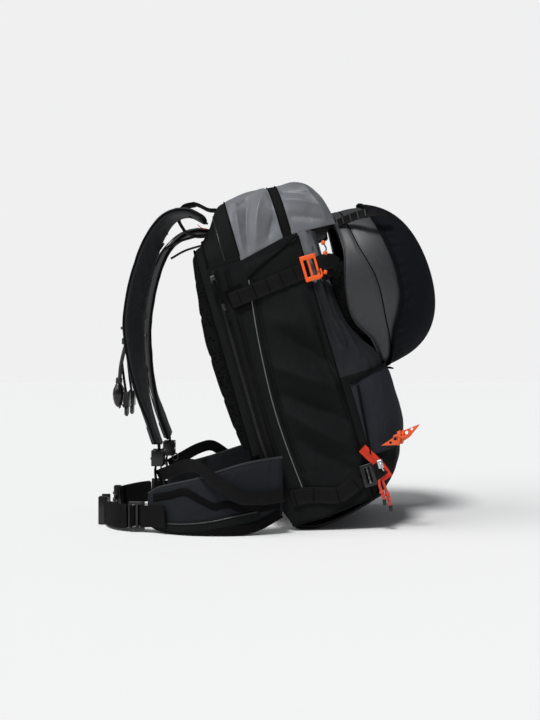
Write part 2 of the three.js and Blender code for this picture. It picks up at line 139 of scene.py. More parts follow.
def ripple(x: float, y: float, z: float, size: float, seed: float = 0.0) -> float:
    """Smooth seeded noise between -1 and 1.

    Args:
        x, y, z: place in millimetres.
        size: the width of one ripple, in millimetres.
        seed: moves to another patch of the same noise.

    Returns:
        The noise at that place.
    """
    return noise.noise(Vector((x / size + seed, y / size - 2.3 * seed, z / size + 0.7 * seed)))


@dataclass(frozen=True)
class Fold:
    """A ridge, or with a negative height a hollow, between two points of a cloth's own plane."""

    start: tuple[float, float]
    end: tuple[float, float]
    width: float
    height: float
    sharp: float = 2.0

    def lift(self, a: float, b: float) -> float:
        """How far the cloth stands off its pattern at (a, b)."""
        (a0, b0), (a1, b1) = self.start, self.end
        da, db = a1 - a0, b1 - b0
        along = clamp01(((a - a0) * da + (b - b0) * db) / (da * da + db * db))
        away = math.hypot(a - a0 - along * da, b - b0 - along * db)
        taper = 0.35 + 0.65 * math.sin(math.pi * (0.12 + 0.76 * along))
        return self.height * taper * math.exp(-((away / self.width) ** self.sharp))


def lifted(folds: Iterable[Fold], a: float, b: float) -> float:
    """The sum of the folds at (a, b)."""
    return sum(fold.lift(a, b) for fold in folds)


class Route:
    """A smooth path through points, walked by its length."""

    def __init__(self, points: Sequence[Point]) -> None:
        """Args: points: the points that the path goes through, in millimetres."""
        given = [np.array(p, float) for p in points]
        ends = [2 * given[0] - given[1], *given, 2 * given[-1] - given[-2]]
        walked = [given[0]]
        for p0, p1, p2, p3 in zip(ends, ends[1:], ends[2:], ends[3:]):
            walked.extend(self._span(p0, p1, p2, p3))
        self.places = np.array(walked)
        steps = np.linalg.norm(np.diff(self.places, axis=0), axis=1)
        self.walk = np.concatenate([[0.0], np.cumsum(steps)])
        self.length = float(self.walk[-1])

    @staticmethod
    def _span(p0: np.ndarray, p1: np.ndarray, p2: np.ndarray, p3: np.ndarray) -> list[np.ndarray]:
        """Centripetal Catmull-Rom points from p1 to p2."""
        knots = [0.0]
        for a, b in ((p0, p1), (p1, p2), (p2, p3)):
            knots.append(knots[-1] + max(float(np.linalg.norm(b - a)), 1e-6) ** 0.5)
        t0, t1, t2, t3 = knots
        out = []
        for t in np.linspace(t1, t2, 17)[1:]:
            a1 = (t1 - t) / (t1 - t0) * p0 + (t - t0) / (t1 - t0) * p1
            a2 = (t2 - t) / (t2 - t1) * p1 + (t - t1) / (t2 - t1) * p2
            a3 = (t3 - t) / (t3 - t2) * p2 + (t - t2) / (t3 - t2) * p3
            b1 = (t2 - t) / (t2 - t0) * a1 + (t - t0) / (t2 - t0) * a2
            b2 = (t3 - t) / (t3 - t1) * a2 + (t - t1) / (t3 - t1) * a3
            out.append((t2 - t) / (t2 - t1) * b1 + (t - t1) / (t2 - t1) * b2)
        return out

    def at(self, t: float) -> Vector:
        """The point a share t of the length along, in millimetres."""
        s = clamp01(t) * self.length
        return Vector([float(np.interp(s, self.walk, self.places[:, k])) for k in range(3)])

    def heading(self, t: float) -> Vector:
        """The direction of the path at t."""
        return (self.at(t + 0.004) - self.at(t - 0.004)).normalized()

    def crossed(self, t: float, across: Callable[[float], Point]) -> tuple[Vector, Vector]:
        """The direction of the path at t, and the direction of a width set square to it."""
        heading = self.heading(t)
        wide = Vector(across(t))
        return heading, (wide - heading * wide.dot(heading)).normalized()


def flat_route(line: Sequence[tuple[float, float]]) -> Route:
    """A route through pairs of depth and height, in the bag's middle plane."""
    return Route([(x, 0, z) for x, z in line])


# Modelling


def choose(*pieces: Piece) -> None:
    """Selects these pieces alone, the last one active."""
    bpy.ops.object.select_all(action="DESELECT")
    for piece in pieces:
        piece.select_set(True)
        bpy.context.view_layer.objects.active = piece


@contextmanager
def editing(piece: Piece) -> Iterator[None]:
    """Holds a piece alone in edit mode, and goes back to object mode."""
    choose(piece)
    bpy.ops.object.mode_set(mode="EDIT")
    yield
    bpy.ops.object.mode_set(mode="OBJECT")


def named(name: str) -> Piece:
    """Names the primitive that was just added."""
    piece = bpy.context.active_object
    piece.name = name
    piece.data.name = name
    return piece


def modified(piece: Piece, kind: str, **settings: object) -> Piece:
    """Adds a modifier to a piece and applies it.

    Args:
        piece: the piece.
        kind: the modifier's type, such as SOLIDIFY.
        settings: the modifier's settings.

    Returns:
        The same piece.
    """
    choose(piece)
    modifier = piece.modifiers.new(kind.title(), kind)
    for key, value in settings.items():
        setattr(modifier, key, value)
    bpy.ops.object.modifier_apply(modifier=modifier.name)
    return piece


def rounded(piece: Piece, radius: float, segments: int = 2, angle: float = 40.0) -> Piece:
    """Rounds the edges sharper than an angle by a radius in millimetres."""
    return modified(
        piece, "BEVEL", width=radius * MM, segments=segments, limit_method="ANGLE",
        angle_limit=math.radians(angle), use_clamp_overlap=True,
    )


def softened(piece: Piece, levels: int = 1) -> Piece:
    """Subdivides a piece and shades it smooth."""
    if levels:
        modified(piece, "SUBSURF", levels=levels, render_levels=levels)
    return shaded(piece)


def shaded(piece: Piece, angle: float = 38.0) -> Piece:
    """Shades a piece smooth, with edges sharper than the angle kept crisp."""
    choose(piece)
    bpy.ops.object.shade_smooth_by_angle(angle=math.radians(angle))
    return piece


def facing_out(piece: Piece, inside: Vector) -> Piece:
    """Turns an open sheet's faces away from a point on its inner side."""
    faces = piece.data.polygons
    if sum(f.area * f.normal.dot(f.center - inside) for f in faces) < 0:
        piece.data.flip_normals()
    return piece


def outward(piece: Piece) -> Piece:
    """Turns a closed piece's faces outwards."""
    with editing(piece):
        bpy.ops.mesh.select_all(action="SELECT")
        bpy.ops.mesh.normals_make_consistent(inside=False)
    return piece


def sealed(piece: Piece, gap: float = 0.01) -> Piece:
    """Closes a skin: merges corners nearer than a gap in millimetres, fills its ends and turns its faces out."""
    with editing(piece):
        bpy.ops.mesh.select_all(action="SELECT")
        bpy.ops.mesh.remove_doubles(threshold=gap * MM)
        bpy.ops.mesh.select_mode(type="EDGE")
        bpy.ops.mesh.select_all(action="DESELECT")
        bpy.ops.mesh.select_non_manifold(extend=False, use_boundary=True)
        bpy.ops.mesh.fill_holes(sides=0)
        bpy.ops.mesh.select_mode(type="VERT")
    return outward(piece)


def laid_grid(name: str, surface: Surface, columns: int, rows: int, cut: tuple[float, float]) -> Piece:
    """A grid whose corners are placed on a surface, with its map in metres of cloth.

    Args:
        name: the piece's name.
        surface: from two shares, 0 to 1, to a point in metres.
        columns: faces along the first share.
        rows: faces along the second share.
        cut: the cloth's width and length in millimetres.

    Returns:
        The open sheet.
    """
    bpy.ops.object.select_all(action="DESELECT")
    bpy.ops.mesh.primitive_grid_add(x_subdivisions=columns, y_subdivisions=rows, size=2.0)
    piece = named(name)
    mesh = piece.data
    flat = np.empty(len(mesh.vertices) * 3)
    mesh.vertices.foreach_get("co", flat)
    shares = (flat.reshape(-1, 3)[:, :2] + 1) / 2
    placed = np.array([surface(float(s), float(t)) for s, t in shares])
    mesh.vertices.foreach_set("co", placed.ravel())
    corners = np.empty(len(mesh.loops), int)
    mesh.loops.foreach_get("vertex_index", corners)
    cloth = shares[corners] * np.array(cut) * MM
    mesh.uv_layers.active.data.foreach_set("uv", cloth.ravel())
    mesh.update()
    return piece


def cloth_piece(
    name: str, surface: Surface, grid: tuple[int, int], cut: tuple[float, float], inside: Vector,
    thickness: float = 2.0, levels: int = 1,
) -> Piece:
    """A sheet of cloth with its thickness on the inner side.

    Args:
        name: the piece's name.
        surface: the outer face, from two shares to metres.
        grid: columns and rows.
        cut: flat width and length in millimetres.
        inside: a point on the inner side, in metres.
        thickness: in millimetres.
        levels: subdivision after thickening.

    Returns:
        The finished sheet.
    """
    piece = facing_out(laid_grid(name, surface, *grid, cut), inside)
    modified(piece, "SOLIDIFY", thickness=thickness * MM, offset=-1.0, use_even_offset=True)
    return softened(piece, levels)


def sweep(
    name: str, route: Route, section: Sequence[tuple[float, float]], steps: int,
    across: Callable[[float], Point], place: Callable[..., Vector], scale: Callable[[float], float] = lambda t: 1.0,
) -> Piece:
    """A closed section carried along a path, capped at both ends.

    Args:
        name: the piece's name.
        route: the path, in millimetres.
        section: the section's corners in order, in millimetres.
        steps: rows along the path.
        across: from a share of the path to the section's first direction.
        place: from three millimetre coordinates to metres in the row frame.
        scale: the section's size at a share of the path.

    Returns:
        The closed piece.
    """
    around = len(section)
    edge = [math.dist(section[k], section[(k + 1) % around]) for k in range(around)]
    reach = [sum(edge[:k]) for k in range(around + 1)]

    def skin(s: float, t: float) -> Vector:
        """The section's corner at s, at t along the path."""
        heading, wide = route.crossed(t, across)
        thick = heading.cross(wide)
        a, b = section[round(s * around) % around]
        grown = scale(t)
        return place(*(route.at(t) + wide * a * grown + thick * b * grown))

    piece = laid_grid(name, skin, around, steps, (1.0, route.length))
    mesh = piece.data
    layer = mesh.uv_layers.active.data
    for corner in layer:
        corner.uv.x = reach[round(corner.uv.x / MM * around)] * MM
    return sealed(piece)


def flat_section(width: float, thickness: float) -> list[tuple[float, float]]:
    """The section of a woven band with soft edges: its upper face first, then back along its lower face."""
    w, h = width / 2, thickness / 2
    upper = [(-w + 0.3, h), (-w * 0.6, h), (0.0, h), (w * 0.6, h), (w - 0.3, h), (w, 0.0)]
    return upper + [(-x, -y) for x, y in upper]


def round_section(radius: float, sides: int = 10) -> list[tuple[float, float]]:
    """A circle's corners."""
    turns = [2 * math.pi * k / sides for k in range(sides)]
    return [(radius * math.cos(a), radius * math.sin(a)) for a in turns]


def as_drawn(x: float, y: float, z: float) -> Vector:
    """A point of the row frame, from millimetres to metres."""
    return Vector((x, y, z)) * MM


def band(
    name: str, points: Sequence[Point], width: float, thickness: float = 1.8, steps: int = 24,
    across: Callable[[float], Point] = lambda t: (0, 1, 0), place: Callable[..., Vector] = as_drawn,
) -> Piece:
    """A length of flat webbing through points.

    Args:
        name: the piece's name.
        points: what it passes through, in millimetres.
        width, thickness: of the webbing, in millimetres.
        steps: rows along it.
        across: the direction of its width at a share of its length.
        place: from millimetre coordinates to metres.

    Returns:
        The closed piece.
    """
    piece = sweep(name, Route(points), flat_section(width, thickness), steps, across, place)
    return shaded(piece, 60)


def lace(
    name: str, points: Sequence[Point], radius: float, steps: int = 32, sides: int = 10,
    place: Callable[..., Vector] = as_drawn, scale: Callable[[float], float] = lambda t: 1.0,
) -> Piece:
    """A round cord through points, with the same arguments as band; scale thickens it along its way."""
    section = round_section(radius, sides)
    tilt = (0.13, 1.0, 0.21)
    return shaded(sweep(name, Route(points), section, steps, lambda t: tilt, place, scale), 60)


def block(name: str, size: Point, centre: Point, place: Callable[..., Vector] = as_drawn) -> Piece:
    """A block of a given size in millimetres, set square in the frame that place stands for."""
    bpy.ops.object.select_all(action="DESELECT")
    bpy.ops.mesh.primitive_cube_add(size=2.0)
    piece = named(name)
    for vertex in piece.data.vertices:
        offset = [c * s / 2 for c, s in zip(vertex.co, size)]
        vertex.co = place(*(c + o for c, o in zip(centre, offset)))
    return piece


def drum(name: str, radius: float, length: float, centre: Point, axis: Point, sides: int = 24,
         place: Callable[..., Vector] = as_drawn) -> Piece:
    """A round bar or disc about an axis, in millimetres."""
    bpy.ops.object.select_all(action="DESELECT")
    bpy.ops.mesh.primitive_cylinder_add(vertices=sides, radius=1.0, depth=2.0)
    piece = named(name)
    turn = Vector((0, 0, 1)).rotation_difference(Vector(axis))
    for vertex in piece.data.vertices:
        x, y, z = vertex.co
        offset = turn @ Vector((x * radius, y * radius, z * length / 2))
        vertex.co = place(*(Vector(centre) + offset))
    return piece


def pierced(piece: Piece, *tools: Piece) -> Piece:
    """Cuts tools out of a piece, removes them, and turns the piece's faces outwards."""
    for tool in tools:
        modified(piece, "BOOLEAN", object=tool, operation="DIFFERENCE", solver="EXACT")
        bpy.data.objects.remove(tool)
    return outward(piece)


def melded(name: str, *pieces: Piece) -> Piece:
    """Joins pieces into one object."""
    choose(*pieces)
    bpy.ops.object.join()
    return named(name)


def pressed(piece: Piece, facing: Vector, inset: float, depth: float, least: float = 0.9) -> Piece:
    """Insets the faces that look one way and sinks or raises them.

    Args:
        piece: the piece.
        facing: the direction the faces look.
        inset: how far their border comes in, in millimetres.
        depth: how far they rise, in millimetres; negative sinks them.
        least: how nearly a face must look that way.

    Returns:
        The same piece.
    """
    direction = facing.normalized()
    with editing(piece):
        bpy.ops.mesh.select_mode(type="FACE")
        bpy.ops.mesh.select_all(action="DESELECT")
    for face in piece.data.polygons:
        face.select = face.normal.dot(direction) > least
    with editing(piece):
        bpy.ops.mesh.inset(thickness=inset * MM, depth=depth * MM)
        bpy.ops.mesh.select_mode(type="VERT")
    return piece


def row_of(name: str, pattern: Piece, places: Sequence[tuple[Vector, Vector, Vector]]) -> Piece:
    """One mesh made of copies of a small pattern piece, which is removed.

    Args:
        name: the row's name.
        pattern: modelled about the origin, its length along X and its top along Z, in metres.
        places: for each copy its centre, its X direction and its Z direction.

    Returns:
        The row.
    """
    copies = []
    for centre, ahead, up in places:
        side = up.cross(ahead).normalized()
        top = ahead.cross(side).normalized()
        copy = pattern.copy()
        copy.data = pattern.data.copy()
        bpy.context.scene.collection.objects.link(copy)
        for vertex in copy.data.vertices:
            x, y, z = vertex.co
            vertex.co = centre + ahead.normalized() * x + side * y + top * z
        copies.append(copy)
    bpy.data.objects.remove(pattern)
    return melded(name, *copies)


# Shader maths


class Wire:
    """A socket or a number in a shader expression; an operator adds its Math node."""

    def __init__(self, bench: "Bench", source: object) -> None:
        """Args: bench: the node tree's bench. source: an output socket."""
        self.bench = bench
        self.source = source

    def _math(self, operation: str, *values: object) -> "Wire":
        """A Math node on these values."""
        return self.bench.node(
            "ShaderNodeMath", {"operation": operation}, dict(enumerate(values))
        )

    def __add__(self, other: object) -> "Wire":
        """Sum."""
        return self._math("ADD", self, other)

    __radd__ = __add__

    def __mul__(self, other: object) -> "Wire":
        """Product."""
        return self._math("MULTIPLY", self, other)

    __rmul__ = __mul__

    def __sub__(self, other: object) -> "Wire":
        """Difference."""
        return self._math("SUBTRACT", self, other)

    def __rsub__(self, other: object) -> "Wire":
        """Difference from a plain number."""
        return self._math("SUBTRACT", other, self)

    def __truediv__(self, other: object) -> "Wire":
        """Quotient."""
        return self._math("DIVIDE", self, other)

    def wave(self) -> "Wire":
        """Sine."""
        return self._math("SINE", self)

    def size(self) -> "Wire":
        """Absolute value."""
        return self._math("ABSOLUTE", self)

    def least(self, other: object) -> "Wire":
        """The smaller of two."""
        return self._math("MINIMUM", self, other)

    def most(self, other: object) -> "Wire":
        """The larger of two."""
        return self._math("MAXIMUM", self, other)

    def ping(self, reach: float) -> "Wire":
        """Folds the value to and fro between 0 and a reach."""
        return self._math("PINGPONG", self, reach)

    def band(self, low: float, high: float) -> "Wire":
        """0 below low, 1 above high, smooth between them."""
        node = {"interpolation_type": "SMOOTHSTEP", "clamp": True}
        values = {"Value": self, "From Min": low, "From Max": high, "To Min": 0.0, "To Max": 1.0}
        return self.bench.node("ShaderNodeMapRange", node, values)


class Bench:
    """Builds one material's nodes."""

    def __init__(self, name: str) -> None:
        """Args: name: the material's name."""
        self.material = bpy.data.materials.new(name)
        self.material.use_nodes = True
        self.tree = self.material.node_tree
        self.tree.nodes.clear()

    def node(self, kind: str, settings: dict[str, object], values: dict[object, object], out: object = 0) -> Wire:
        """Adds a node.

        Args:
            kind: its type.
            settings: its properties, set first.
            values: numbers, colours or wires for its sockets, by name or place.
            out: the socket wanted back.

        Returns:
            That output as a wire.
        """
        made = self.tree.nodes.new(kind)
        for key, value in settings.items():
            setattr(made, key, value)
        for key, value in values.items():
            if isinstance(value, Wire):
                self.tree.links.new(value.source, made.inputs[key])
            else:
                made.inputs[key].default_value = value
        return Wire(self, made.outputs[out])

    def place(self) -> Wire:
        """Object coordinates, in metres."""
        return self.node("ShaderNodeTexCoord", {}, {}, "Object")

    def cloth(self) -> Wire:
        """The piece's own map, in metres of cloth."""
        return self.node("ShaderNodeUVMap", {"uv_map": "UVMap"}, {})

    def parts(self, vector: Wire) -> tuple[Wire, Wire, Wire]:
        """A vector's three numbers."""
        split = self.node("ShaderNodeSeparateXYZ", {}, {0: vector})
        return split, Wire(self, split.source.node.outputs[1]), Wire(self, split.source.node.outputs[2])

    def stretched(self, vector: Wire, by: Point) -> Wire:
        """A vector multiplied part by part."""
        return self.node("ShaderNodeVectorMath", {"operation": "MULTIPLY"}, {0: vector, 1: tuple(by)})

    def cloud(self, vector: Wire, size: float, detail: float = 3.0, rough: float = 0.55, warp: float = 0.0) -> Wire:
        """Noise from 0 to 1 whose patches are size millimetres wide."""
        values = {
            "Vector": vector, "Scale": 1 / (size * MM), "Detail": detail, "Roughness": rough, "Distortion": warp,
        }
        return self.node("ShaderNodeTexNoise", {}, values)

    def cells(self, vector: Wire, size: float, feature: str = "F1") -> Wire:
        """Distance in a pattern of cells about size millimetres wide."""
        values = {"Vector": vector, "Scale": 1 / (size * MM)}
        return self.node("ShaderNodeTexVoronoi", {"feature": feature}, values, "Distance")

    def tint(self, share: object, low: object, high: object, how: str = "MIX") -> Wire:
        """A colour between two, or one blended on the other."""
        settings = {"data_type": "RGBA", "blend_type": how}
        return self.node("ShaderNodeMix", settings, {0: share, 6: low, 7: high}, 2)

    def relief(self, height: Wire, depth: float, under: Wire | None = None) -> Wire:
        """A bumped normal, depth millimetres high, over another relief if there is one."""
        values: dict[object, object] = {"Height": height, "Distance": depth * MM, "Strength": 1.0}
        if under is not None:
            values["Normal"] = under
        return self.node("ShaderNodeBump", {}, values)

    def edges(self) -> Wire:
        """Near 1 on outer edges and 0.5 on flat faces."""
        return self.node("ShaderNodeNewGeometry", {}, {}, "Pointiness")

    def finish(self, **sockets: object) -> bpy.types.Material:
        """Joins the shader to the output, its sockets written with underscores for spaces."""
        values = {key.replace("_", " "): value for key, value in sockets.items()}
        shader = self.node("ShaderNodeBsdfPrincipled", {}, values)
        output = self.tree.nodes.new("ShaderNodeOutputMaterial")
        self.tree.links.new(shader.source, output.inputs["Surface"])
        return self.material


def cycle(width: float) -> float:
    """The turn for each metre of a wave that repeats at a width in millimetres."""
    return 2 * math.pi / (width * MM)


def shade(colour: Point, by: float) -> tuple[float, float, float, float]:
    """A colour made lighter or darker, with its alpha."""
    return (colour[0] * by, colour[1] * by, colour[2] * by, 1.0)


# Finishes


@dataclass(frozen=True)
class Woven:
    """A plain-woven nylon, with an optional ripstop grid."""

    name: str
    colour: Point
    thread: float = 0.9
    rough: float = 0.62
    sheen: float = 0.03
    ripstop: float = 0.0
    crease: float = 1.2
    gloss: float = 0.0
    shine: float = 0.22

    def made(self) -> bpy.types.Material:
        """The material."""
        b = Bench(self.name)
        cloth, place = b.cloth(), b.place()
        across, along, _ = b.parts(cloth)
        turn = cycle(self.thread)
        weft = (across * turn).wave()
        warp = (along * turn).wave()
        weave = (weft * warp) * 0.5 + 0.5
        slub = b.cloud(b.stretched(cloth, (1.0, 14.0, 1.0)), 9.0, 2.0)
        soil = b.cloud(place, 85.0, 4.0, 0.6)
        shaded_thread = b.tint(weave, shade(self.colour, 0.72), shade(self.colour, 1.22))
        colour = b.tint(slub * 0.45, shaded_thread, shade(self.colour, 1.5))
        colour = b.tint(soil.band(0.55, 0.8) * 0.05, colour, (0.08, 0.078, 0.072, 1))
        height = weave * 0.5
        if self.ripstop:
            pitch = self.ripstop * MM
            grid = (1 - (across / pitch).ping(0.5).band(0.0, 0.07)).most(1 - (along / pitch).ping(0.5).band(0.0, 0.07))
            colour = b.tint(grid * 0.4, colour, shade(self.colour, 1.9))
            height = height + grid * 0.7
        crumple = b.cloud(b.stretched(place, (1.0, 1.0, 0.55)), 34.0, 4.0, 0.55, 0.8)
        normal = b.relief(crumple, self.crease * 4)
        normal = b.relief(height, 0.16, normal)
        rough = self.rough + (soil - 0.5) * 0.16 + weave * 0.08
        return b.finish(
            Base_Color=colour, Roughness=rough, Normal=normal, Sheen_Weight=self.sheen, Sheen_Roughness=0.4,
            Sheen_Tint=(0.5, 0.5, 0.52, 1), Specular_IOR_Level=self.shine, Coat_Weight=self.gloss,
            Coat_Roughness=0.35,
        )


@dataclass(frozen=True)
class Coated:
    """Tarpaulin-like coated cloth with a slight gloss, which creases in sharp ridges; its colour carries painted shade
    in the hollows and painted highlights on the ridges and along the crease lines.
    """

    name: str
    colour: Point
    rough: float = 0.4
    coat: float = 0.25
    crease: float = 1.0
    shine: float = 0.3

    def made(self) -> bpy.types.Material:
        """The material."""
        b = Bench(self.name)
        cloth, place = b.cloth(), b.place()
        across, along, _ = b.parts(cloth)
        yarn = cycle(1.6)
        weave = (across * yarn).wave() * (along * yarn).wave()
        bent = b.stretched(place, (1.0, 1.0, 0.7))
        ridges = b.cloud(bent, 85.0, 2.0, 0.45, 0.9)
        crisp = 1 - ((ridges - 0.5).size() * 9).least(1.0)
        fine = b.cloud(place, 13.0, 4.0, 0.6, 0.6)
        scuff = b.cloud(place, 2.2, 2.0, 0.7).band(0.6, 0.78) * b.cloud(place, 48.0).band(0.5, 0.68)
        # painted shade and highlight: darker where the crease noise sinks the cloth, lighter where it raises it
        colour = b.tint(ridges, shade(self.colour, 0.74), shade(self.colour, 1.28))
        # painted highlight along the crease lines
        colour = b.tint(crisp * 0.1, colour, shade(self.colour, 1.5))
        colour = b.tint(scuff * 0.08, colour, (0.2, 0.2, 0.21, 1))
        rough = self.rough + fine * 0.16 + scuff * 0.2 - crisp * 0.06
        normal = b.relief(ridges + crisp * 0.08, 7.0 * self.crease)
        normal = b.relief(fine, 0.8 * self.crease, normal)
        normal = b.relief(weave, 0.06, normal)
        return b.finish(
            Base_Color=colour, Roughness=rough, Normal=normal, Coat_Weight=self.coat, Coat_Roughness=0.3,
            Specular_IOR_Level=self.shine,
        )


@dataclass(frozen=True)
class Webbing:
    """Woven band: ribs across it, closed selvedges and optional rows of stitches."""

    name: str
    colour: Point
    width: float = 25.0
    rib: float = 1.5
    stitched: bool = False
    thread: Point = (0.03, 0.03, 0.032)

    def made(self) -> bpy.types.Material:
        """The material."""
        b = Bench(self.name)
        across, along, _ = b.parts(b.cloth())
        place = b.place()
        rib = (along * cycle(self.rib) + (across * cycle(2.4)).wave() * 1.2).wave()
        herring = (across * cycle(1.2)).wave()
        weave = rib * 0.35 + herring * 0.15 + 0.5
        edge = 1 - ((across / (self.width * MM)).ping(0.5) * self.width / 1.6).least(1.0)
        wear = b.cloud(place, 26.0, 4.0, 0.65).band(0.5, 0.75)
        colour = b.tint(weave, shade(self.colour, 0.62), shade(self.colour, 1.35))
        colour = b.tint(edge * 0.5, colour, shade(self.colour, 1.8))
        colour = b.tint(wear * 0.05, colour, (0.1, 0.1, 0.1, 1))
        height = weave * 0.6 + edge * 0.6
        if self.stitched:
            line = 1 - (((across / (self.width * MM)).ping(0.5) * self.width - 3.2).size() / 0.5).least(1.0)
            stitch = line * (along / (3.4 * MM)).ping(0.5).band(0.12, 0.2)
            colour = b.tint(stitch, colour, (*self.thread, 1.0))
            height = height + stitch * 0.9
        normal = b.relief(height, 0.35)
        rough = 0.58 + weave * 0.14
        return b.finish(Base_Color=colour, Roughness=rough, Normal=normal, Specular_IOR_Level=0.03)


@dataclass(frozen=True)
class Meshwork:
    """Spacer mesh over foam: rows of small holes in a knitted face, with painted highlights on the tops of its broad
    swells.
    """

    name: str
    colour: Point
    hole: float = 3.6

    def made(self) -> bpy.types.Material:
        """The material."""
        b = Bench(self.name)
        cloth, place = b.cloth(), b.place()
        holes = b.cells(b.stretched(cloth, (1.0, 0.72, 1.0)), self.hole)
        open_ = 1 - holes.band(0.22, 0.42)
        pile = b.cloud(place, 1.4, 2.0, 0.7)
        highlit_swell = b.cloud(place, 70.0, 4.0, 0.6)
        colour = b.tint(pile, shade(self.colour, 0.75), shade(self.colour, 1.4))
        colour = b.tint(open_ * 0.85, colour, shade(self.colour, 0.25))
        # painted highlight: lighter where the broad swells rise highest
        colour = b.tint(highlit_swell.band(0.5, 0.8) * 0.2, colour, shade(self.colour, 2.0))
        normal = b.relief(highlit_swell, 2.0)
        normal = b.relief((1 - open_) + pile * 0.2, 0.8, normal)
        rough = 0.78 + pile * 0.14
        return b.finish(Base_Color=colour, Roughness=rough, Normal=normal, Specular_IOR_Level=0.03)


@dataclass(frozen=True)
class Knit:
    """Stretch knit in fine columns."""

    name: str
    colour: Point
    column: float = 1.3
    sheen: float = 0.05
    rough: float = 0.72

    def made(self) -> bpy.types.Material:
        """The material."""
        b = Bench(self.name)
        cloth, place = b.cloth(), b.place()
        across, along, _ = b.parts(cloth)
        column = (across * cycle(self.column)).wave().size()
        loops = (along * cycle(self.column * 0.8) + column * 2.2).wave()
        knit = column * 0.6 + loops * 0.2 + 0.2
        tone = b.cloud(place, 60.0, 3.0, 0.55)
        lint = b.cloud(place, 1.1, 1.0, 0.8).band(0.68, 0.8)
        colour = b.tint(knit, shade(self.colour, 0.68), shade(self.colour, 1.25))
        colour = b.tint(tone * 0.35, colour, shade(self.colour, 1.5))
        colour = b.tint(lint * 0.05, colour, (0.2, 0.2, 0.21, 1))
        normal = b.relief(b.cloud(place, 22.0, 3.0), 1.8)
        normal = b.relief(knit, 0.25, normal)
        return b.finish(
            Base_Color=colour, Roughness=self.rough + tone * 0.14, Normal=normal, Sheen_Weight=self.sheen,
            Sheen_Roughness=0.5, Sheen_Tint=(0.5, 0.52, 0.56, 1), Specular_IOR_Level=0.04,
        )


@dataclass(frozen=True)
class Moulded:
    """Injection-moulded plastic with a fine spark texture, paler where its edges are rubbed."""

    name: str
    colour: Point
    rough: float = 0.42
    grain: float = 0.5
    worn: float = 1.6

    def made(self) -> bpy.types.Material:
        """The material."""
        b = Bench(self.name)
        place = b.place()
        grain = b.cloud(place, self.grain, 2.0, 0.6)
        tone = b.cloud(place, 22.0, 4.0, 0.6)
        rubbed = b.edges().band(0.52, 0.6) * tone.band(0.35, 0.6)
        scratch = b.cloud(b.stretched(place, (1.0, 1.0, 9.0)), 7.0, 3.0, 0.7).band(0.62, 0.7)
        colour = b.tint(tone, shade(self.colour, 0.85), shade(self.colour, 1.18))
        colour = b.tint(rubbed * 0.6, colour, shade(self.colour, self.worn))
        rough = self.rough + grain * 0.12 + scratch * 0.12 - rubbed * 0.08
        normal = b.relief(grain, 0.05)
        normal = b.relief(scratch, 0.04, normal)
        return b.finish(Base_Color=colour, Roughness=rough, Normal=normal, Coat_Weight=0.06, Coat_Roughness=0.3)


@dataclass(frozen=True)
class Metal:
    """Metal, bare or anodised, brushed one way, with bright rubbed edges."""

    name: str
    colour: Point
    rough: float = 0.34
    metal: float = 1.0
    bare: Point = (0.7, 0.7, 0.7)

    def made(self) -> bpy.types.Material:
        """The material."""
        b = Bench(self.name)
        place = b.place()
        brush = b.cloud(b.stretched(place, (1.0, 1.0, 0.06)), 0.8, 2.0, 0.6)
        tone = b.cloud(place, 15.0, 4.0, 0.6)
        rubbed = b.edges().band(0.54, 0.64) * tone.band(0.45, 0.7)
        colour = b.tint(tone, shade(self.colour, 0.82), shade(self.colour, 1.12))
        colour = b.tint(rubbed * 0.5, colour, (*self.bare, 1.0))
        rough = self.rough + brush * 0.14 + tone * 0.08
        metal = self.metal + rubbed * (1 - self.metal)
        normal = b.relief(brush, 0.03)
        return b.finish(Base_Color=colour, Roughness=rough, Metallic=metal, Normal=normal)


@dataclass(frozen=True)
class Braid:
    """Braided cord: strands that cross in diamonds round it."""

    name: str
    colour: Point
    strand: float = 1.1
    fleck: Point | None = None

    def made(self) -> bpy.types.Material:
        """The material."""
        b = Bench(self.name)
        around, along, _ = b.parts(b.cloth())
        turn = cycle(self.strand * 1.6)
        one = ((around + along) * turn).wave()
        two = ((around - along) * turn).wave()
        braid = one.most(two) * 0.5 + 0.5
        fuzz = b.cloud(b.place(), 0.9, 2.0, 0.7)
        colour = b.tint(braid, shade(self.colour, 0.55), shade(self.colour, 1.2))
        if self.fleck is not None:
            mark = (one * two).band(0.55, 0.8) * (along / (7 * MM)).ping(0.5).band(0.3, 0.36)
            colour = b.tint(mark, colour, (*self.fleck, 1.0))
        normal = b.relief(braid + fuzz * 0.2, 0.3)
        rough = 0.6 + fuzz * 0.2
        return b.finish(
            Base_Color=colour, Roughness=rough, Normal=normal, Sheen_Weight=0.12, Sheen_Roughness=0.5,
        )


@dataclass(frozen=True)
class Shell:
    """Matt painted helmet shell, faintly mottled."""

    name: str
    colour: Point

    def made(self) -> bpy.types.Material:
        """The material."""
        b = Bench(self.name)
        place = b.place()
        peel = b.cloud(place, 1.6, 1.0, 0.5)
        tone = b.cloud(place, 120.0, 3.0, 0.5)
        dust = b.cloud(place, 6.0, 4.0, 0.75).band(0.56, 0.72)
        colour = b.tint(tone, shade(self.colour, 0.88), shade(self.colour, 1.14))
        colour = b.tint(dust * 0.1, colour, (0.3, 0.3, 0.3, 1))
        rough = 0.46 + dust * 0.14 + peel * 0.06
        normal = b.relief(peel, 0.04)
        return b.finish(Base_Color=colour, Roughness=rough, Normal=normal, Coat_Weight=0.08, Coat_Roughness=0.4)


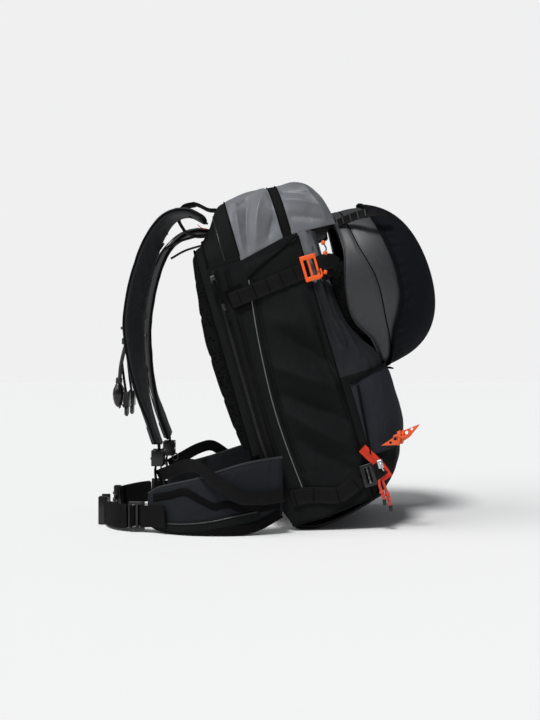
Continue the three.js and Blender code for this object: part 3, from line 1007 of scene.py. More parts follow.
@dataclass(frozen=True)
class Beads:
    """Expanded foam: packed beads with fine joints."""

    name: str
    colour: Point
    bead: float = 3.2

    def made(self) -> bpy.types.Material:
        """The material."""
        b = Bench(self.name)
        place = b.place()
        joint = b.cells(place, self.bead, "DISTANCE_TO_EDGE").band(0.0, 0.12)
        tone = b.cloud(place, 40.0)
        colour = b.tint(joint, shade(self.colour, 0.55), shade(self.colour, 1.1))
        colour = b.tint(tone * 0.3, colour, shade(self.colour, 1.4))
        normal = b.relief(joint, 0.3)
        rough = 0.82 - joint * 0.14
        return b.finish(Base_Color=colour, Roughness=rough, Normal=normal)


@dataclass(frozen=True)
class Ground:
    """The studio's pale floor."""

    name: str
    colour: Point

    def made(self) -> bpy.types.Material:
        """The material."""
        b = Bench(self.name)
        tone = b.cloud(b.place(), 900.0, 2.0, 0.5)
        colour = b.tint(tone, shade(self.colour, 0.99), shade(self.colour, 1.0))
        return b.finish(Base_Color=colour, Roughness=0.9, Specular_IOR_Level=0.1)


class Finishes:
    """Every finish of the pack, made once and shared."""

    RECIPES = (
        Woven("charcoal_cloth", (0.0098, 0.0104, 0.0106), sheen=0.0, crease=0.9, shine=0.03),
        Woven("stretch_cloth", (0.021, 0.023, 0.0285), thread=1.3, ripstop=5.2, sheen=0.0, crease=0.8, shine=0.05),
        Woven("wing_cloth", (0.0155, 0.0172, 0.02), ripstop=3.6, sheen=0.0, crease=0.8, shine=0.04),
        Woven(
            "strap_cloth", (0.025, 0.026, 0.028), thread=1.0, rough=0.5, gloss=0.04, crease=0.5, sheen=0.01,
            shine=0.16,
        ),
        Woven("binding_cloth", (0.0055, 0.0055, 0.006), thread=0.8, sheen=0.0, crease=0.2, shine=0.02),
        Woven("airbag_cloth", (0.62, 0.095, 0.02), thread=0.6, ripstop=5.0, rough=0.5, crease=1.6),
        Coated("coated_cloth", (0.165, 0.173, 0.187), coat=0.12, shine=0.3),
        Coated("coated_dark", (0.021, 0.0225, 0.025), rough=0.46, coat=0.02, shine=0.06),
        Knit("holder_knit", (0.009, 0.0098, 0.0122), sheen=0.0),
        Knit("hem_knit", (0.0055, 0.006, 0.007), column=1.0, sheen=0.0),
        Meshwork("spacer_mesh", (0.0068, 0.007, 0.0072)),
        Webbing("black_webbing", (0.0095, 0.0095, 0.01)),
        Webbing("stitched_webbing", (0.0105, 0.0105, 0.011), stitched=True),
        Webbing("wide_webbing", (0.009, 0.009, 0.0095), width=38.0),
        Webbing("narrow_webbing", (0.0095, 0.0095, 0.01), width=15.0, rib=1.1),
        Webbing("zip_tape", (0.0065, 0.0065, 0.007), width=16.0, rib=1.0, stitched=True),
        Webbing("red_tape", (0.62, 0.045, 0.022), width=12.0, rib=1.0, stitched=True, thread=(0.72, 0.12, 0.07)),
        Moulded("black_plastic", (0.0045, 0.0045, 0.0048), worn=3.4),
        Moulded("glossy_black", (0.0035, 0.0035, 0.0038), rough=0.26, grain=0.9, worn=3.0),
        Moulded("power_case", (0.014, 0.0145, 0.0155), rough=0.5),
        Moulded("orange_plastic", (0.83, 0.115, 0.018), rough=0.4, worn=1.15),
        Moulded("pale_piping", (0.13, 0.135, 0.14), rough=0.4, worn=1.3),
        Moulded("zip_coil", (0.014, 0.014, 0.015), rough=0.3, worn=2.4),
        Metal("orange_metal", (1.0, 0.12, 0.006), rough=0.42, metal=0.0, bare=(0.9, 0.36, 0.14)),
        Metal("silver_metal", (0.62, 0.63, 0.65), rough=0.28),
        Metal("dark_metal", (0.1, 0.1, 0.105), rough=0.36),
        Braid("red_braid", (0.72, 0.05, 0.02), fleck=(0.1, 0.01, 0.008)),
        Braid("orange_braid", (0.85, 0.12, 0.02)),
        Braid("black_braid", (0.009, 0.009, 0.01)),
        Shell("helmet_paint", (0.029, 0.0305, 0.0335)),
        Beads("helmet_foam", (0.012, 0.012, 0.0125)),
        Ground("studio_ground", (0.95, 0.95, 0.95)),
    )

    def __init__(self) -> None:
        """Makes every material."""
        self.made = {recipe.name: recipe.made() for recipe in self.RECIPES}

    def dress(self, piece: Piece, finish: str, slot: str | None = None) -> Piece:
        """Gives a piece its finish.

        Args:
            piece: a new piece or a node of the frame.
            finish: the finish's name.
            slot: the record's material slot, for a new piece; not used.

        Returns:
            The same piece.
        """
        if not piece.material_slots:
            piece.data.materials.append(self.made[finish])
        for place in piece.material_slots:
            place.material = self.made[finish]
        return piece

    def partly(self, piece: Piece, finish: str, here: Callable[[Vector], bool]) -> Piece:
        """Gives the faces whose centres pass a test a second finish."""
        piece.data.materials.append(self.made[finish])
        last = len(piece.data.materials) - 1
        for face in piece.data.polygons:
            if here(face.center):
                face.material_index = last
        return piece


class Assembly:
    """What every sub-assembly does: keep its pieces, dress them and ride them on the frame."""

    finishes: Finishes

    def settle(
        self, piece: Piece, body: str, finish: str, slot: str, stands_for: Sequence[str] = (),
    ) -> Piece:
        """Dresses a finished piece and fixes it to a body.

        Args:
            piece: the piece.
            body: the frame's body that carries it.
            finish: its finish.
            slot: the record's material slot.
            stands_for: the frame's nodes that it is shown instead of.

        Returns:
            The same piece.
        """
        self.finishes.dress(piece, finish, slot)
        if stands_for:
            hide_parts(*stands_for)
        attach(piece, body)
        log.info("%s: %d faces on %s", piece.name, len(piece.data.polygons), body)
        return piece


# The bag


@dataclass(frozen=True)
class BagForm:
    """The bag's shape in its own upright frame: depth from the back panel, side, and height along the back."""

    lean: float = 16.0
    corner: float = 54.0
    rear: float = -36.0
    seam: float = 117.0
    half_width: float = 126.0
    top_half_width: float = 116.0
    hood_edge: float = 432.0

    def place(self, x: float, y: float, z: float) -> Vector:
        """A point of the bag's frame, in metres in the row frame."""
        c, s = math.cos(math.radians(self.lean)), math.sin(math.radians(self.lean))
        return Vector((self.corner + x * c - z * s, y, x * s + z * c)) * MM

    def towards(self, x: float, y: float, z: float) -> Vector:
        """A direction of the bag's frame, as it lies in the row frame."""
        return self.place(x, y, z) - self.place(0, 0, 0)

    def half(self, z: float) -> float:
        """Half the bag's width at a height."""
        return mix(self.half_width, self.top_half_width, clamp01((z - 200) / 230))

    def rear_edge(self, z: float) -> float:
        """Where the side panel starts behind."""
        return self.rear + 20 * clamp01((70 - z) / 55)

    def lower_edge(self, x: float) -> float:
        """The side panel's lower edge."""
        return 10 + 9 * clamp01((x - 40) / 76)

    def hood_foot(self, x: float) -> float:
        """Where the hood starts above the side panel."""
        return self.hood_edge + 18 * clamp01((x - 20) / 80)

    def hood_top(self, x: float) -> float:
        """The height of the hood's crest."""
        return HOOD_CREST(x)

    def front(self, z: float) -> float:
        """How far the front reaches at a height."""
        return FRONT_REACH(z)

    def crown(self, x: float, z: float) -> float:
        """How far the side panel bellies out."""
        return 5 * math.sin(math.pi * clamp01((x - 20) / 97)) * math.sin(math.pi * clamp01(z / 440))

    def side(self, x: float, z: float) -> float:
        """The side panel's distance from the middle, without folds."""
        return self.half(z) + self.crown(x, z)

    def hood(self, x: float, turn: float, proud: float = 0.0) -> tuple[float, float, float]:
        """A point of the hood: depth, turn from its left edge, -1, to its right, 1, and how far it stands proud."""
        angle = turn * math.pi / 2
        narrow = 1 - 0.16 * clamp01((x - 120) / 64) ** 2
        rise = self.hood_top(x) - self.hood_foot(x)
        y = (self.top_half_width * narrow + proud) * math.sin(angle)
        return (x, y, self.hood_foot(x) + (rise + proud) * max(math.cos(angle), 0.0) ** 0.7)

    def wrap(self, s: float, z: float, proud: float = 0.0) -> tuple[float, float, float]:
        """A point of the front: s from its left seam, 0, to its right, 1, a height, and how far it stands proud."""
        angle = math.pi * (s - 0.5)
        depth = self.front(z) + proud - self.seam
        y = signed_power(math.sin(angle), 0.62) * (self.half(z) + proud)
        return (self.seam + depth * max(math.cos(angle), 0.0) ** 0.62, y, z)


HOOD_CREST = profile([
    (-34, 490), (-16, 508), (2, 536), (16, 545), (38, 549), (70, 550), (110, 548), (148, 539), (168, 524), (178, 500),
    (182, 466),
])
FRONT_REACH = profile([
    (16, 134), (41, 167), (69, 185), (102, 195), (125, 198), (160, 198), (211, 199), (240, 192), (268, 174), (310, 158),
    (445, 150),
])
BAG = BagForm()
HEART = BAG.place(60, 0, 250)


@dataclass
class BagShell(Assembly):
    """The side panels, front, base and lumbar panel, with the seams, piping and folds of their cloth."""

    finishes: Finishes
    side_folds: tuple[Fold, ...] = (
        Fold((58, 302), (112, 234), 15, -13, 1.3),
        Fold((18, 262), (114, 198), 14, 13, 1.3),
        Fold((24, 214), (116, 142), 13, -12, 1.3),
        Fold((28, 180), (114, 98), 14, 12, 1.3),
        Fold((34, 138), (104, 64), 12, -10, 1.3),
        Fold((40, 336), (90, 298), 20, 8, 1.5),
        Fold((96, 356), (104, 262), 10, 5),
        Fold((114, 340), (110, 250), 7, -4.6),
        Fold((48, 98), (112, 74), 11, 4),
        Fold((20, 352), (60, 338), 14, -4),
    )
    front_folds: tuple[Fold, ...] = (
        Fold((0.055, 392), (0.07, 258), 0.014, 7.0),
        Fold((0.02, 372), (0.032, 262), 0.012, -3.0),
        Fold((0.10, 330), (0.055, 252), 0.014, 5.0, 1.5),
        Fold((0.13, 420), (0.10, 300), 0.02, -4.0),
        Fold((0.17, 300), (0.12, 236), 0.02, 4.0, 1.5),
        Fold((0.945, 392), (0.93, 258), 0.014, 7.0),
        Fold((0.98, 372), (0.968, 262), 0.012, -3.0),
        Fold((0.90, 330), (0.945, 252), 0.014, 5.0, 1.5),
        Fold((0.83, 300), (0.88, 236), 0.02, 4.0, 1.5),
    )
    coated_from: float = 214.0

    def side_lift(self, x: float, z: float) -> float:
        """How far the side's cloth stands off its pattern, held down where the straps cross it."""
        strapped = max(hump(z, 382, 26) * ease((x - 4) / 20), hump(z, 55, 24))
        border = ease((x - BAG.rear_edge(z)) / 14) * ease((116 - x) / 6) * ease((BAG.hood_foot(x) - 2 - z) / 20)
        loose = lifted(self.side_folds, x, z) + 2.4 * ripple(x, z, 0, 58) + 0.9 * ripple(x, z, 7, 24, 3.1)
        body = ease((x - 8) / 18)
        ridge = 1.6 * hump(x, -9 - 0.01 * z, 5) - 1.8 * hump(x, -17, 6) - 1.2 * hump(x, 0, 6)
        return border * (1 - 0.85 * strapped) * (mix(0.25, 1.0, body) * loose + ridge)

    def side_point(self, side: Side, x: float, z: float, proud: float = 0.0) -> Vector:
        """A point on a side's cloth, in metres."""
        away = BAG.side(x, z) + self.side_lift(x, z) + proud
        return BAG.place(x, side.value * away, z)

    def side_panel(self, side: Side) -> None:
        """The large side panel."""

        def skin(s: float, t: float) -> Vector:
            """From rear to front seam, and from base to hood."""
            height = mix(10, BAG.hood_edge, t)
            x = mix(BAG.rear_edge(height), BAG.seam + 0.4, s)
            return self.side_point(side, x, mix(BAG.lower_edge(x), BAG.hood_foot(x) + 1.5, t))

        name = f"side_cloth_{side.word}"
        piece = cloth_piece(name, skin, (56, 110), (153, 420), BAG.place(60, 0, 220), 2.2)
        self.settle(piece, "pack", "charcoal_cloth", "charcoal_fabric", (f"side_panel_{side.word}",))

    def seam_cord(self, side: Side, name: str, line: Sequence[tuple[float, float]], radius: float, finish: str,
                  slot: str, proud: float = 0.6) -> None:
        """A piping cord laid along a line of the side panel."""
        dense = flat_route(line)
        points = []
        for k in range(25):
            at = dense.at(k / 24)
            away = BAG.side(at.x, at.z) + self.side_lift(at.x, at.z) + proud
            points.append((at.x, side.value * away, at.z))
        piece = lace(f"{name}_{side.word}", points, radius, 70, 8, BAG.place)
        self.settle(piece, "pack", finish, slot)

    def side_tape(self, side: Side, name: str, line: Sequence[tuple[float, float]], width: float, finish: str,
                  slot: str, proud: float = 0.5, thickness: float = 1.0, reach: tuple[float, float] = (0, 1)) -> None:
        """A flat tape laid on the side panel along a line."""
        dense = flat_route(line)
        count = 60

        def skin(s: float, t: float) -> Vector:
            """Across the tape and along it."""
            share = mix(*reach, t)
            at, heading = dense.at(share), dense.heading(share)
            offset = (s - 0.5) * width
            x, z = at.x + heading.z * offset, at.z - heading.x * offset
            edge = 0.35 * (1 - (2 * s - 1) ** 4)
            return self.side_point(side, x, z, proud + edge)

        piece = cloth_piece(f"{name}_{side.word}", skin, (6, count), (width, dense.length), HEART, thickness, 0)
        self.settle(piece, "pack", finish, slot)

    def seams(self, side: Side) -> None:
        """The reflective piping, the seams beside it and the zip of the back opening."""
        pipe = [(24, 400), (20, 370), (14, 320), (9, 255), (7, 205), (8, 155), (11, 110), (15, 66)]
        self.seam_cord(side, "reflective_piping", pipe, 0.9, "pale_piping", "coated_fabric", 0.8)
        beside = [(x + 9, z) for x, z in pipe]
        self.side_tape(side, "seam_tape", beside, 9, "zip_tape", "charcoal_fabric", 0.2)
        behind = [(-6, 424), (-8, 330), (-10, 240), (-10, 140), (-6, 60)]
        self.side_tape(side, "rear_seam_tape", behind, 8, "zip_tape", "charcoal_fabric", 0.2)
        zip_line = [(-27, 428), (-27.5, 330), (-27.5, 240), (-27, 150), (-22, 84)]
        self.side_tape(side, "back_zip_tape", zip_line, 15, "zip_tape", "charcoal_fabric", 0.15)
        self.zip_teeth(side, zip_line)
        flap = [(100, 300), (101, 240), (106, 160), (110, 92)]
        self.side_tape(side, "front_seam_tape", [(x + 8, z) for x, z in flap], 6, "zip_tape", "charcoal_fabric", 0.1)

    def zip_teeth(self, side: Side, line: Sequence[tuple[float, float]]) -> None:
        """The coil of the back zip: one tooth, modelled once and copied along the line."""
        tooth = pressed(block("tooth", (1.1, 4.6, 1.5), (0, 0, 0)), Vector((0, 0, 1)), 0.25, 0.3)
        route = flat_route(line)
        places = []
        count = int(route.length / 2.0)
        for k in range(count):
            at = route.at(k / count)
            ahead = route.heading(k / count)
            centre = self.side_point(side, at.x, at.z, 1.0)
            places.append((centre, BAG.towards(ahead.x, 0, ahead.z), Vector((0, side.value, 0))))
        teeth = row_of(f"zip_teeth_{side.word}", tooth, places)
        self.settle(teeth, "pack", "zip_coil", "black_plastic")

    def hood_boundary(self, side: Side) -> None:
        """The dark wedge under the hood, with a bound lower edge."""
        upper = profile([(18, 432), (60, 437), (112, 446)])
        lower = profile([(24, 408), (60, 421), (90, 434), (114, 444)])

        def skin(s: float, t: float) -> Vector:
            """Along the wedge and up it."""
            x = mix(22, 114, s)
            z = mix(lower(x) - 20 * (1 - s) * 0.2, upper(x) - 6, t)
            return self.side_point(side, x, z, 1.0 + 1.2 * math.sin(math.pi * t))

        wedge = cloth_piece(f"side_wedge_{side.word}", skin, (24, 8), (96, 30), HEART, 1.0)
        self.settle(wedge, "pack", "charcoal_cloth", "charcoal_fabric")
        line = [(24, 404), (50, 417), (80, 430), (114, 446)]
        self.seam_cord(side, "wedge_binding", line, 1.3, "binding_cloth", "charcoal_fabric", 1.4)

    def front_point(self, s: float, z: float, proud: float = 0.0) -> Vector:
        """A point on the front's cloth, in metres."""
        ends = ease(min(s, 1 - s) / 0.02)
        calm = hump(z, 391, 24) * (ease((0.1 - s) / 0.04) + ease((s - 0.9) / 0.04))
        pocket = ease((z - 78) / 8) * ease((200 - z) / 8) * ease((s - 0.03) / 0.03) * ease((0.97 - s) / 0.03)
        loose = lifted(self.front_folds, s, z)
        loose += 2.2 * ripple(s * 420, z * 0.6, 0, 38, 1.7) + 1.0 * ripple(s * 420, z, 5, 16, 4.2)
        lift = ends * (1 - 0.8 * min(calm, 1)) * (1 - pocket) * loose
        return BAG.place(*BAG.wrap(s, z, proud + lift))

    def front_panel(self) -> None:
        """The front: coated above, plain cloth at its foot."""

        def skin(s: float, t: float) -> Vector:
            """From left seam to right, and from base to hood; rows crowd at the seams."""
            swept = 0.5 - 0.5 * math.cos(math.pi * s)
            return self.front_point(mix(0.0002, 0.9998, mix(s, swept, 0.85)), mix(20, 451, t))

        piece = cloth_piece("front_cloth", skin, (110, 120), (440, 424), BAG.place(80, 0, 230), 2.2)
        self.settle(piece, "pack", "coated_cloth", "charcoal_fabric", ("front_panel",))
        lean = math.radians(BAG.lean)

        def height(centre: Vector) -> float:
            """The height along the bag's back of a point in metres."""
            depth = centre.x / MM - BAG.corner
            return -depth * math.sin(lean) + centre.z / MM * math.cos(lean)

        def low(centre: Vector) -> bool:
            """Below the pocket's top."""
            return height(centre) < self.coated_from

        def darker(centre: Vector) -> bool:
            """Between the pocket's top and the lighter cloth beside the hood."""
            return self.coated_from <= height(centre) < 322 + 0.4 * abs(centre.y / MM)

        self.finishes.partly(piece, "charcoal_cloth", low)
        self.finishes.partly(piece, "coated_dark", darker)

    def pocket(self) -> None:
        """The stretch pocket round the front, with a bound mouth and a folded strip down each front edge."""

        def skin(s: float, t: float) -> Vector:
            """Round the pocket and up it."""
            z = mix(85, 215 - 14 * abs(2 * s - 1) ** 3, t)
            full = math.sin(math.pi * (0.08 + 0.84 * t)) * (1 - 0.75 * abs(2 * s - 1) ** 6)
            slack = 1.6 * ripple(s * 400, z, 0, 30, 2.2) + 0.8 * ripple(s * 400, z * 0.5, 3, 12, 6.1)
            mouth = -2.0 * ease((t - 0.86) / 0.14)
            return BAG.place(*BAG.wrap(mix(0.016, 0.984, s), z, 4.2 + 4.6 * full + slack * 0.7 + mouth))

        piece = cloth_piece("front_pocket_cloth", skin, (96, 40), (420, 118), BAG.place(60, 0, 140), 1.6)
        self.settle(piece, "pack", "stretch_cloth", "stretch_fabric", ("front_pocket",))
        rim = []
        for k in range(41):
            s = k / 40
            z = 215 - 14 * abs(2 * s - 1) ** 3
            rim.append(BAG.wrap(mix(0.016, 0.984, s), z, 4.6))
        self.settle(lace("pocket_binding", rim, 1.7, 120, 8, BAG.place), "pack", "binding_cloth", "stretch_fabric")
        for side in Side:
            edge = 0.5 + side.value * 0.462
            line = [BAG.wrap(edge + side.value * 0.022 * (1 - k / 10), mix(88, 196, k / 10), 8.4) for k in range(11)]
            strip = band(f"pocket_edge_{side.word}", line, 7, 1.2, 40, lambda t, v=side: (0.5, v.value, 0), BAG.place)
            self.settle(strip, "pack", "zip_tape", "charcoal_fabric")

    def base(self) -> None:
        """The base: tough cloth folded round the lower front corner, doubled and stitched."""
        route = flat_route([(28, 17), (42, 0.2), (68, 0.2), (115, 15.4), (150, 35), (180, 54)])

        def skin(s: float, t: float) -> Vector:
            """From side to side, and from the back corner to the front."""
            at = route.at(t)
            y = mix(-121, 121, s)
            rolled = 5.0 * ease((abs(y) - 108) / 13)
            uneven = 0.8 * (1 + ripple(at.x, y, 0, 40)) * ease((t - 0.3) * 4)
            return as_drawn(at.x, y, max(at.z, 0.2) + rolled + uneven)

        piece = cloth_piece("base_cloth", skin, (60, 44), (242, route.length), as_drawn(70, 0, 200), 3.0)
        self.settle(piece, "pack", "charcoal_cloth", "charcoal_fabric", ("base_panel",))
        for side in Side:
            line = []
            for k in range(15):
                x = mix(-12, 130, k / 14)
                low = BAG.lower_edge(x) + 2 if x < BAG.seam else 19 + (x - BAG.seam) * 0.5
                line.append((x, side.value * (BAG.side(min(x, 116), low) + 0.8), low))
            cord = lace(f"base_piping_{side.word}", line, 1.6, 60, 8, BAG.place)
            self.settle(cord, "pack", "binding_cloth", "charcoal_fabric")

    def gusset(self, side: Side) -> None:
        """The soft cloth that joins the side to the door of the back."""

        def skin(s: float, t: float) -> Vector:
            """From the side's rear edge in to the pad, and up it."""
            z = mix(132, 474, t)
            up = clamp01((z - 400) / 78)
            pad = 104 * math.sqrt(1 - 0.72 * up * up) - 1.0
            bag = BAG.side(BAG.rear, min(z, 432)) - 0.5 - 12 * ease((z - 432) / 40)
            rear = BAG.rear + 0.5 + 1.5 * ease((z - 432) / 20)
            belly = 4.0 * math.sin(math.pi * s)
            return BAG.place(mix(rear, -46.5, ease(s)) - 0.4 * belly, side.value * (mix(bag, pad, s) + belly), z)

        piece = cloth_piece(f"door_gusset_{side.word}", skin, (16, 70), (26, 342), HEART, 1.2)
        self.finishes.dress(piece, "charcoal_cloth", "charcoal_fabric")
        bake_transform(piece)
        log.info("gusset of the %s side is blended", side.word)

    def soffit(self) -> None:
        """The cloth that closes the hood's underside in front, above the helmet."""

        def skin(s: float, t: float) -> Vector:
            """From side to side, and from inside the front's top edge out under the hood's lip."""
            turn = mix(-0.96, 0.96, s)
            x = mix(112, 176.5, t)
            y = BAG.hood(x, turn)[1] * 0.985
            return BAG.place(x, y, BAG.hood_foot(x) + 3.5 + 1.2 * ripple(x, y, 0, 26))

        piece = cloth_piece("hood_soffit", skin, (50, 16), (220, 64), BAG.place(140, 0, 520), 1.2)
        self.settle(piece, "pack", "charcoal_cloth", "charcoal_fabric")

    def front_seam(self, side: Side) -> None:
        """The bound seam between the side and the front."""
        line = [(BAG.seam + 0.4, side.value * (BAG.half(z) + 0.6), z) for z in np.linspace(24, 446, 30)]
        cord = lace(f"front_seam_{side.word}", line, 1.2, 120, 8, BAG.place)
        self.settle(cord, "pack", "binding_cloth", "charcoal_fabric")

    def lumbar(self) -> None:
        """The panel and the pad behind the hips."""

        def panel(s: float, t: float) -> Vector:
            """Across and up the panel."""
            y, z = mix(-111, 111, s), mix(64, 126, t)
            return BAG.place(-40.6 - 0.8 * ripple(y, z, 0, 28), y, z)

        sheet = cloth_piece("lumbar_cloth", panel, (40, 14), (222, 62), HEART, 3.6)
        self.settle(sheet, "pack", "charcoal_cloth", "charcoal_fabric", ("lumbar_panel",))
        pad = Pad("lumbar_cushion", width=144, height=76, thickness=14, corner=22, channels=(0.33, 0.67))
        piece = pad.made(lambda a, b, c: BAG.place(-44.2 - c, a, 86 + b), 0.18)
        self.settle(piece, "pack", "spacer_mesh", "foam_mesh", ("lumbar_pad",))

    def built(self) -> None:
        """Makes the whole shell."""
        for side in Side:
            self.side_panel(side)
            self.seams(side)
            self.hood_boundary(side)
            self.gusset(side)
            self.front_seam(side)
        self.soffit()
        self.front_panel()
        self.pocket()
        self.base()
        self.lumbar()


@dataclass
class Pad:
    """A foam pad with rounded corners, swollen by cloth simulation and pressed in along sewn channels."""

    name: str
    width: float
    height: float
    thickness: float
    corner: float
    channels: tuple[float, ...] = ()
    voxel: float = 4.5
    swell: float = 4.0
    pressure: float = 4.0
    steps: int = 20

    def blank(self) -> Piece:
        """The pad's flat blank, lying in its own plane and centred there, with its thickness upwards."""
        piece = block(self.name, (self.width - 4, self.height - 4, self.thickness - 3), (0, 0, 0))
        with editing(piece):
            bpy.ops.mesh.select_mode(type="EDGE")
            bpy.ops.mesh.select_all(action="DESELECT")
        for edge in piece.data.edges:
            a, b = (piece.data.vertices[i].co for i in edge.vertices)
            edge.select = abs(a.z - b.z) > 0.01 * MM
        with editing(piece):
            bpy.ops.mesh.bevel(offset=self.corner * MM, segments=6, affect="EDGES")
            bpy.ops.mesh.select_mode(type="VERT")
        return piece

    def swollen(self, piece: Piece) -> Piece:
        """Blows the blank up a little under cloth pressure, holding each point within the swell."""
        modified(piece, "REMESH", mode="VOXEL", voxel_size=self.voxel * MM, use_smooth_shade=True)
        count = len(piece.data.vertices)
        start = np.empty(count * 3)
        piece.data.vertices.foreach_get("co", start)
        choose(piece)
        cloth = piece.modifiers.new("Cloth", "CLOTH")
        cloth.settings.use_pressure = True
        cloth.settings.uniform_pressure_force = self.pressure
        cloth.settings.effector_weights.gravity = 0.0
        cloth.point_cache.frame_start, cloth.point_cache.frame_end = 1, self.steps
        for step in range(1, self.steps + 1):
            bpy.context.scene.frame_set(step)
        bpy.ops.object.modifier_apply(modifier=cloth.name)
        bpy.context.scene.frame_set(1)
        grown = np.empty(count * 3)
        piece.data.vertices.foreach_get("co", grown)
        move = (grown - start).reshape(-1, 3)
        far = np.linalg.norm(move, axis=1, keepdims=True)
        held = move * np.minimum(1.0, self.swell * MM / np.maximum(far, 1e-9))
        piece.data.vertices.foreach_set("co", (start.reshape(-1, 3) + held).ravel())
        return piece

    def made(self, place: Callable[[float, float, float], Vector], press: float) -> Piece:
        """The finished pad, set in place.

        Args:
            place: from across, up and out of the pad's plane, in millimetres, to metres.
            press: the depth of its channels as a share of its thickness.

        Returns:
            The closed pad.
        """
        piece = softened(self.swollen(self.blank()), 1)
        for vertex in piece.data.vertices:
            a, b, c = vertex.co / MM
            groove = sum(hump(a, (share - 0.5) * self.width, 5.0) for share in self.channels)
            if c > 0:
                c -= groove * self.thickness * press
            vertex.co = place(a, b, c + self.thickness / 2)
        layer = piece.data.uv_layers.active or piece.data.uv_layers.new(name="UVMap")
        for loop in piece.data.loops:
            co = piece.data.vertices[loop.vertex_index].co
            layer.data[loop.index].uv = (co.y, co.z)
        piece.data.update()
        return outward(piece)


@dataclass
class Hood(Assembly):
    """The arched top: collar, rear hood, black band and front hood, with the haul loop."""

    finishes: Finishes
    rear_folds: tuple[Fold, ...] = (
        Fold((28, -0.97), (37, -0.50), 7, 8.0, 1.1),
        Fold((36, -0.98), (58, -0.46), 9, -11.0, 1.1),
        Fold((50, -0.99), (84, -0.52), 9, 10.0, 1.1),
        Fold((70, -0.99), (93, -0.80), 7, -9.0, 1.1),
        Fold((26, -0.62), (66, -0.34), 9, -6.0, 1.2),
        Fold((30, -0.45), (88, -0.30), 9, 4.0, 1.3),
        Fold((40, -0.08), (84, 0.10), 10, -3.4, 1.4),
    )
    front_folds: tuple[Fold, ...] = (
        Fold((114, -0.70), (172, -0.86), 6, 8.5, 1.2),
        Fold((118, -0.88), (172, -0.97), 5, -7.0, 1.2),
        Fold((116, -0.52), (166, -0.62), 7, -6.5, 1.2),
        Fold((168, -0.95), (150, -0.42), 6, 7.0, 1.2),
        Fold((114, -0.36), (170, -0.22), 9, 4.5, 1.3),
        Fold((130, -0.10), (168, 0.12), 10, 3.5, 1.3),
    )

    def lift(self, folds: Sequence[Fold], x: float, turn: float, seed: float) -> float:
        """The folds at a depth and turn, the same on both sides; a turn counts as its share of 100 mm."""
        near = sum(
            Fold((f.start[0], f.start[1] * 130), (f.end[0], f.end[1] * 130), f.width, f.height, f.sharp)
            .lift(x, -abs(turn) * 130) for f in folds
        )
        return near + 1.6 * ripple(x, turn * 130, 0, 40, seed) + 0.4 * ripple(x, turn * 130, 4, 18, seed + 2)

    def panel(
        self, name: str, span: tuple[float, float], grid: tuple[int, int], finish: str, slot: str, node: str,
        folds: Sequence[Fold] = (), seed: float = 0.0, puff: float = 0.0, thickness: float = 2.2,
    ) -> Piece:
        """One strip of the hood, tucked in at the seams on both sides of it."""

        def skin(s: float, t: float) -> Vector:
            """From rear seam to front seam, and over from left to right."""
            x, turn = mix(*span, s), mix(-1, 1, t)
            seam = ease(min(s, 1 - s) * (span[1] - span[0]) / 7)
            foot = ease((1 - abs(turn)) / 0.05)
            lift = (self.lift(folds, x, turn, seed) if folds else 0.5 * ripple(x, turn * 130, 0, 30, seed))
            return BAG.place(*BAG.hood(x, turn, seam * foot * (lift + puff * math.sin(math.pi * s))))

        piece = cloth_piece(name, skin, grid, (span[1] - span[0], 330), BAG.place(60, 0, 430), thickness)
        return self.settle(piece, "pack", finish, slot, (node,))

    def arch(
        self, name: str, x: float, radius: float, finish: str, slot: str, proud: float, reach: float = 0.985,
    ) -> None:
        """A binding cord that follows the hood at one depth."""
        line = [BAG.hood(x, mix(-reach, reach, k / 48), proud) for k in range(49)]
        self.settle(lace(name, line, radius, 140, 8, BAG.place), "pack", finish, slot)

    def built(self) -> None:
        """Makes the hood's strips, bindings and loops."""
        self.panel("collar_cloth", (-34, 19.7), (22, 84), "charcoal_cloth", "charcoal_fabric", "collar",
                   seed=1.0, puff=1.2)
        self.panel("rear_hood_cloth", (20.1, 94.5), (44, 120), "coated_cloth", "coated_fabric", "rear_hood",
                   self.rear_folds, 2.0, 2.0)
        self.panel("hood_band_cloth", (94.9, 108), (8, 84), "black_webbing", "black_webbing", "hood_band", seed=3.0)
        self.panel("front_hood_cloth", (108.4, 182), (42, 120), "coated_cloth", "coated_fabric", "front_hood",
                   self.front_folds, 5.0, 1.6)
        self.arch("hood_seam_rear", 20.0, 1.2, "binding_cloth", "coated_fabric", 0.6)
        self.arch("hood_seam_band_rear", 94.6, 1.0, "binding_cloth", "black_webbing", 0.5)
        self.arch("hood_seam_band_front", 108.3, 1.0, "binding_cloth", "black_webbing", 0.5)
        self.arch("collar_zip_line", -4, 1.1, "zip_coil", "black_plastic", 0.9)
        self.arch("collar_binding", -32.5, 1.8, "binding_cloth", "charcoal_fabric", 0.2, 0.97)
        lip = [BAG.hood(181.6, mix(-0.97, 0.97, k / 30), -0.4) for k in range(31)]
        self.settle(lace("hood_lip", lip, 1.5, 90, 8, BAG.place), "pack", "binding_cloth", "coated_fabric")
        arc = [(-23, 0, 503), (-42, 0, 508), (-58, 0, 522), (-62, 0, 544), (-48, 0, 560), (-28, 0, 560), (-8, 0, 544),
               (4, 0, 540)]
        loop = band("haul_handle", arc, 24, 3.6, 48, place=BAG.place)
        self.settle(loop, "pack", "stitched_webbing", "black_webbing", ("haul_loop",))
        grip = band("haul_grip", arc[2:6], 25.5, 5.2, 24, place=BAG.place)
        self.settle(grip, "pack", "binding_cloth", "black_webbing")
        tag = band("haul_tag", [(-20, -13, 512), (-28, -14, 516), (-33, -14, 523)], 6, 1.0, 8, place=BAG.place)
        self.settle(tag, "pack", "red_tape", "red_cord")


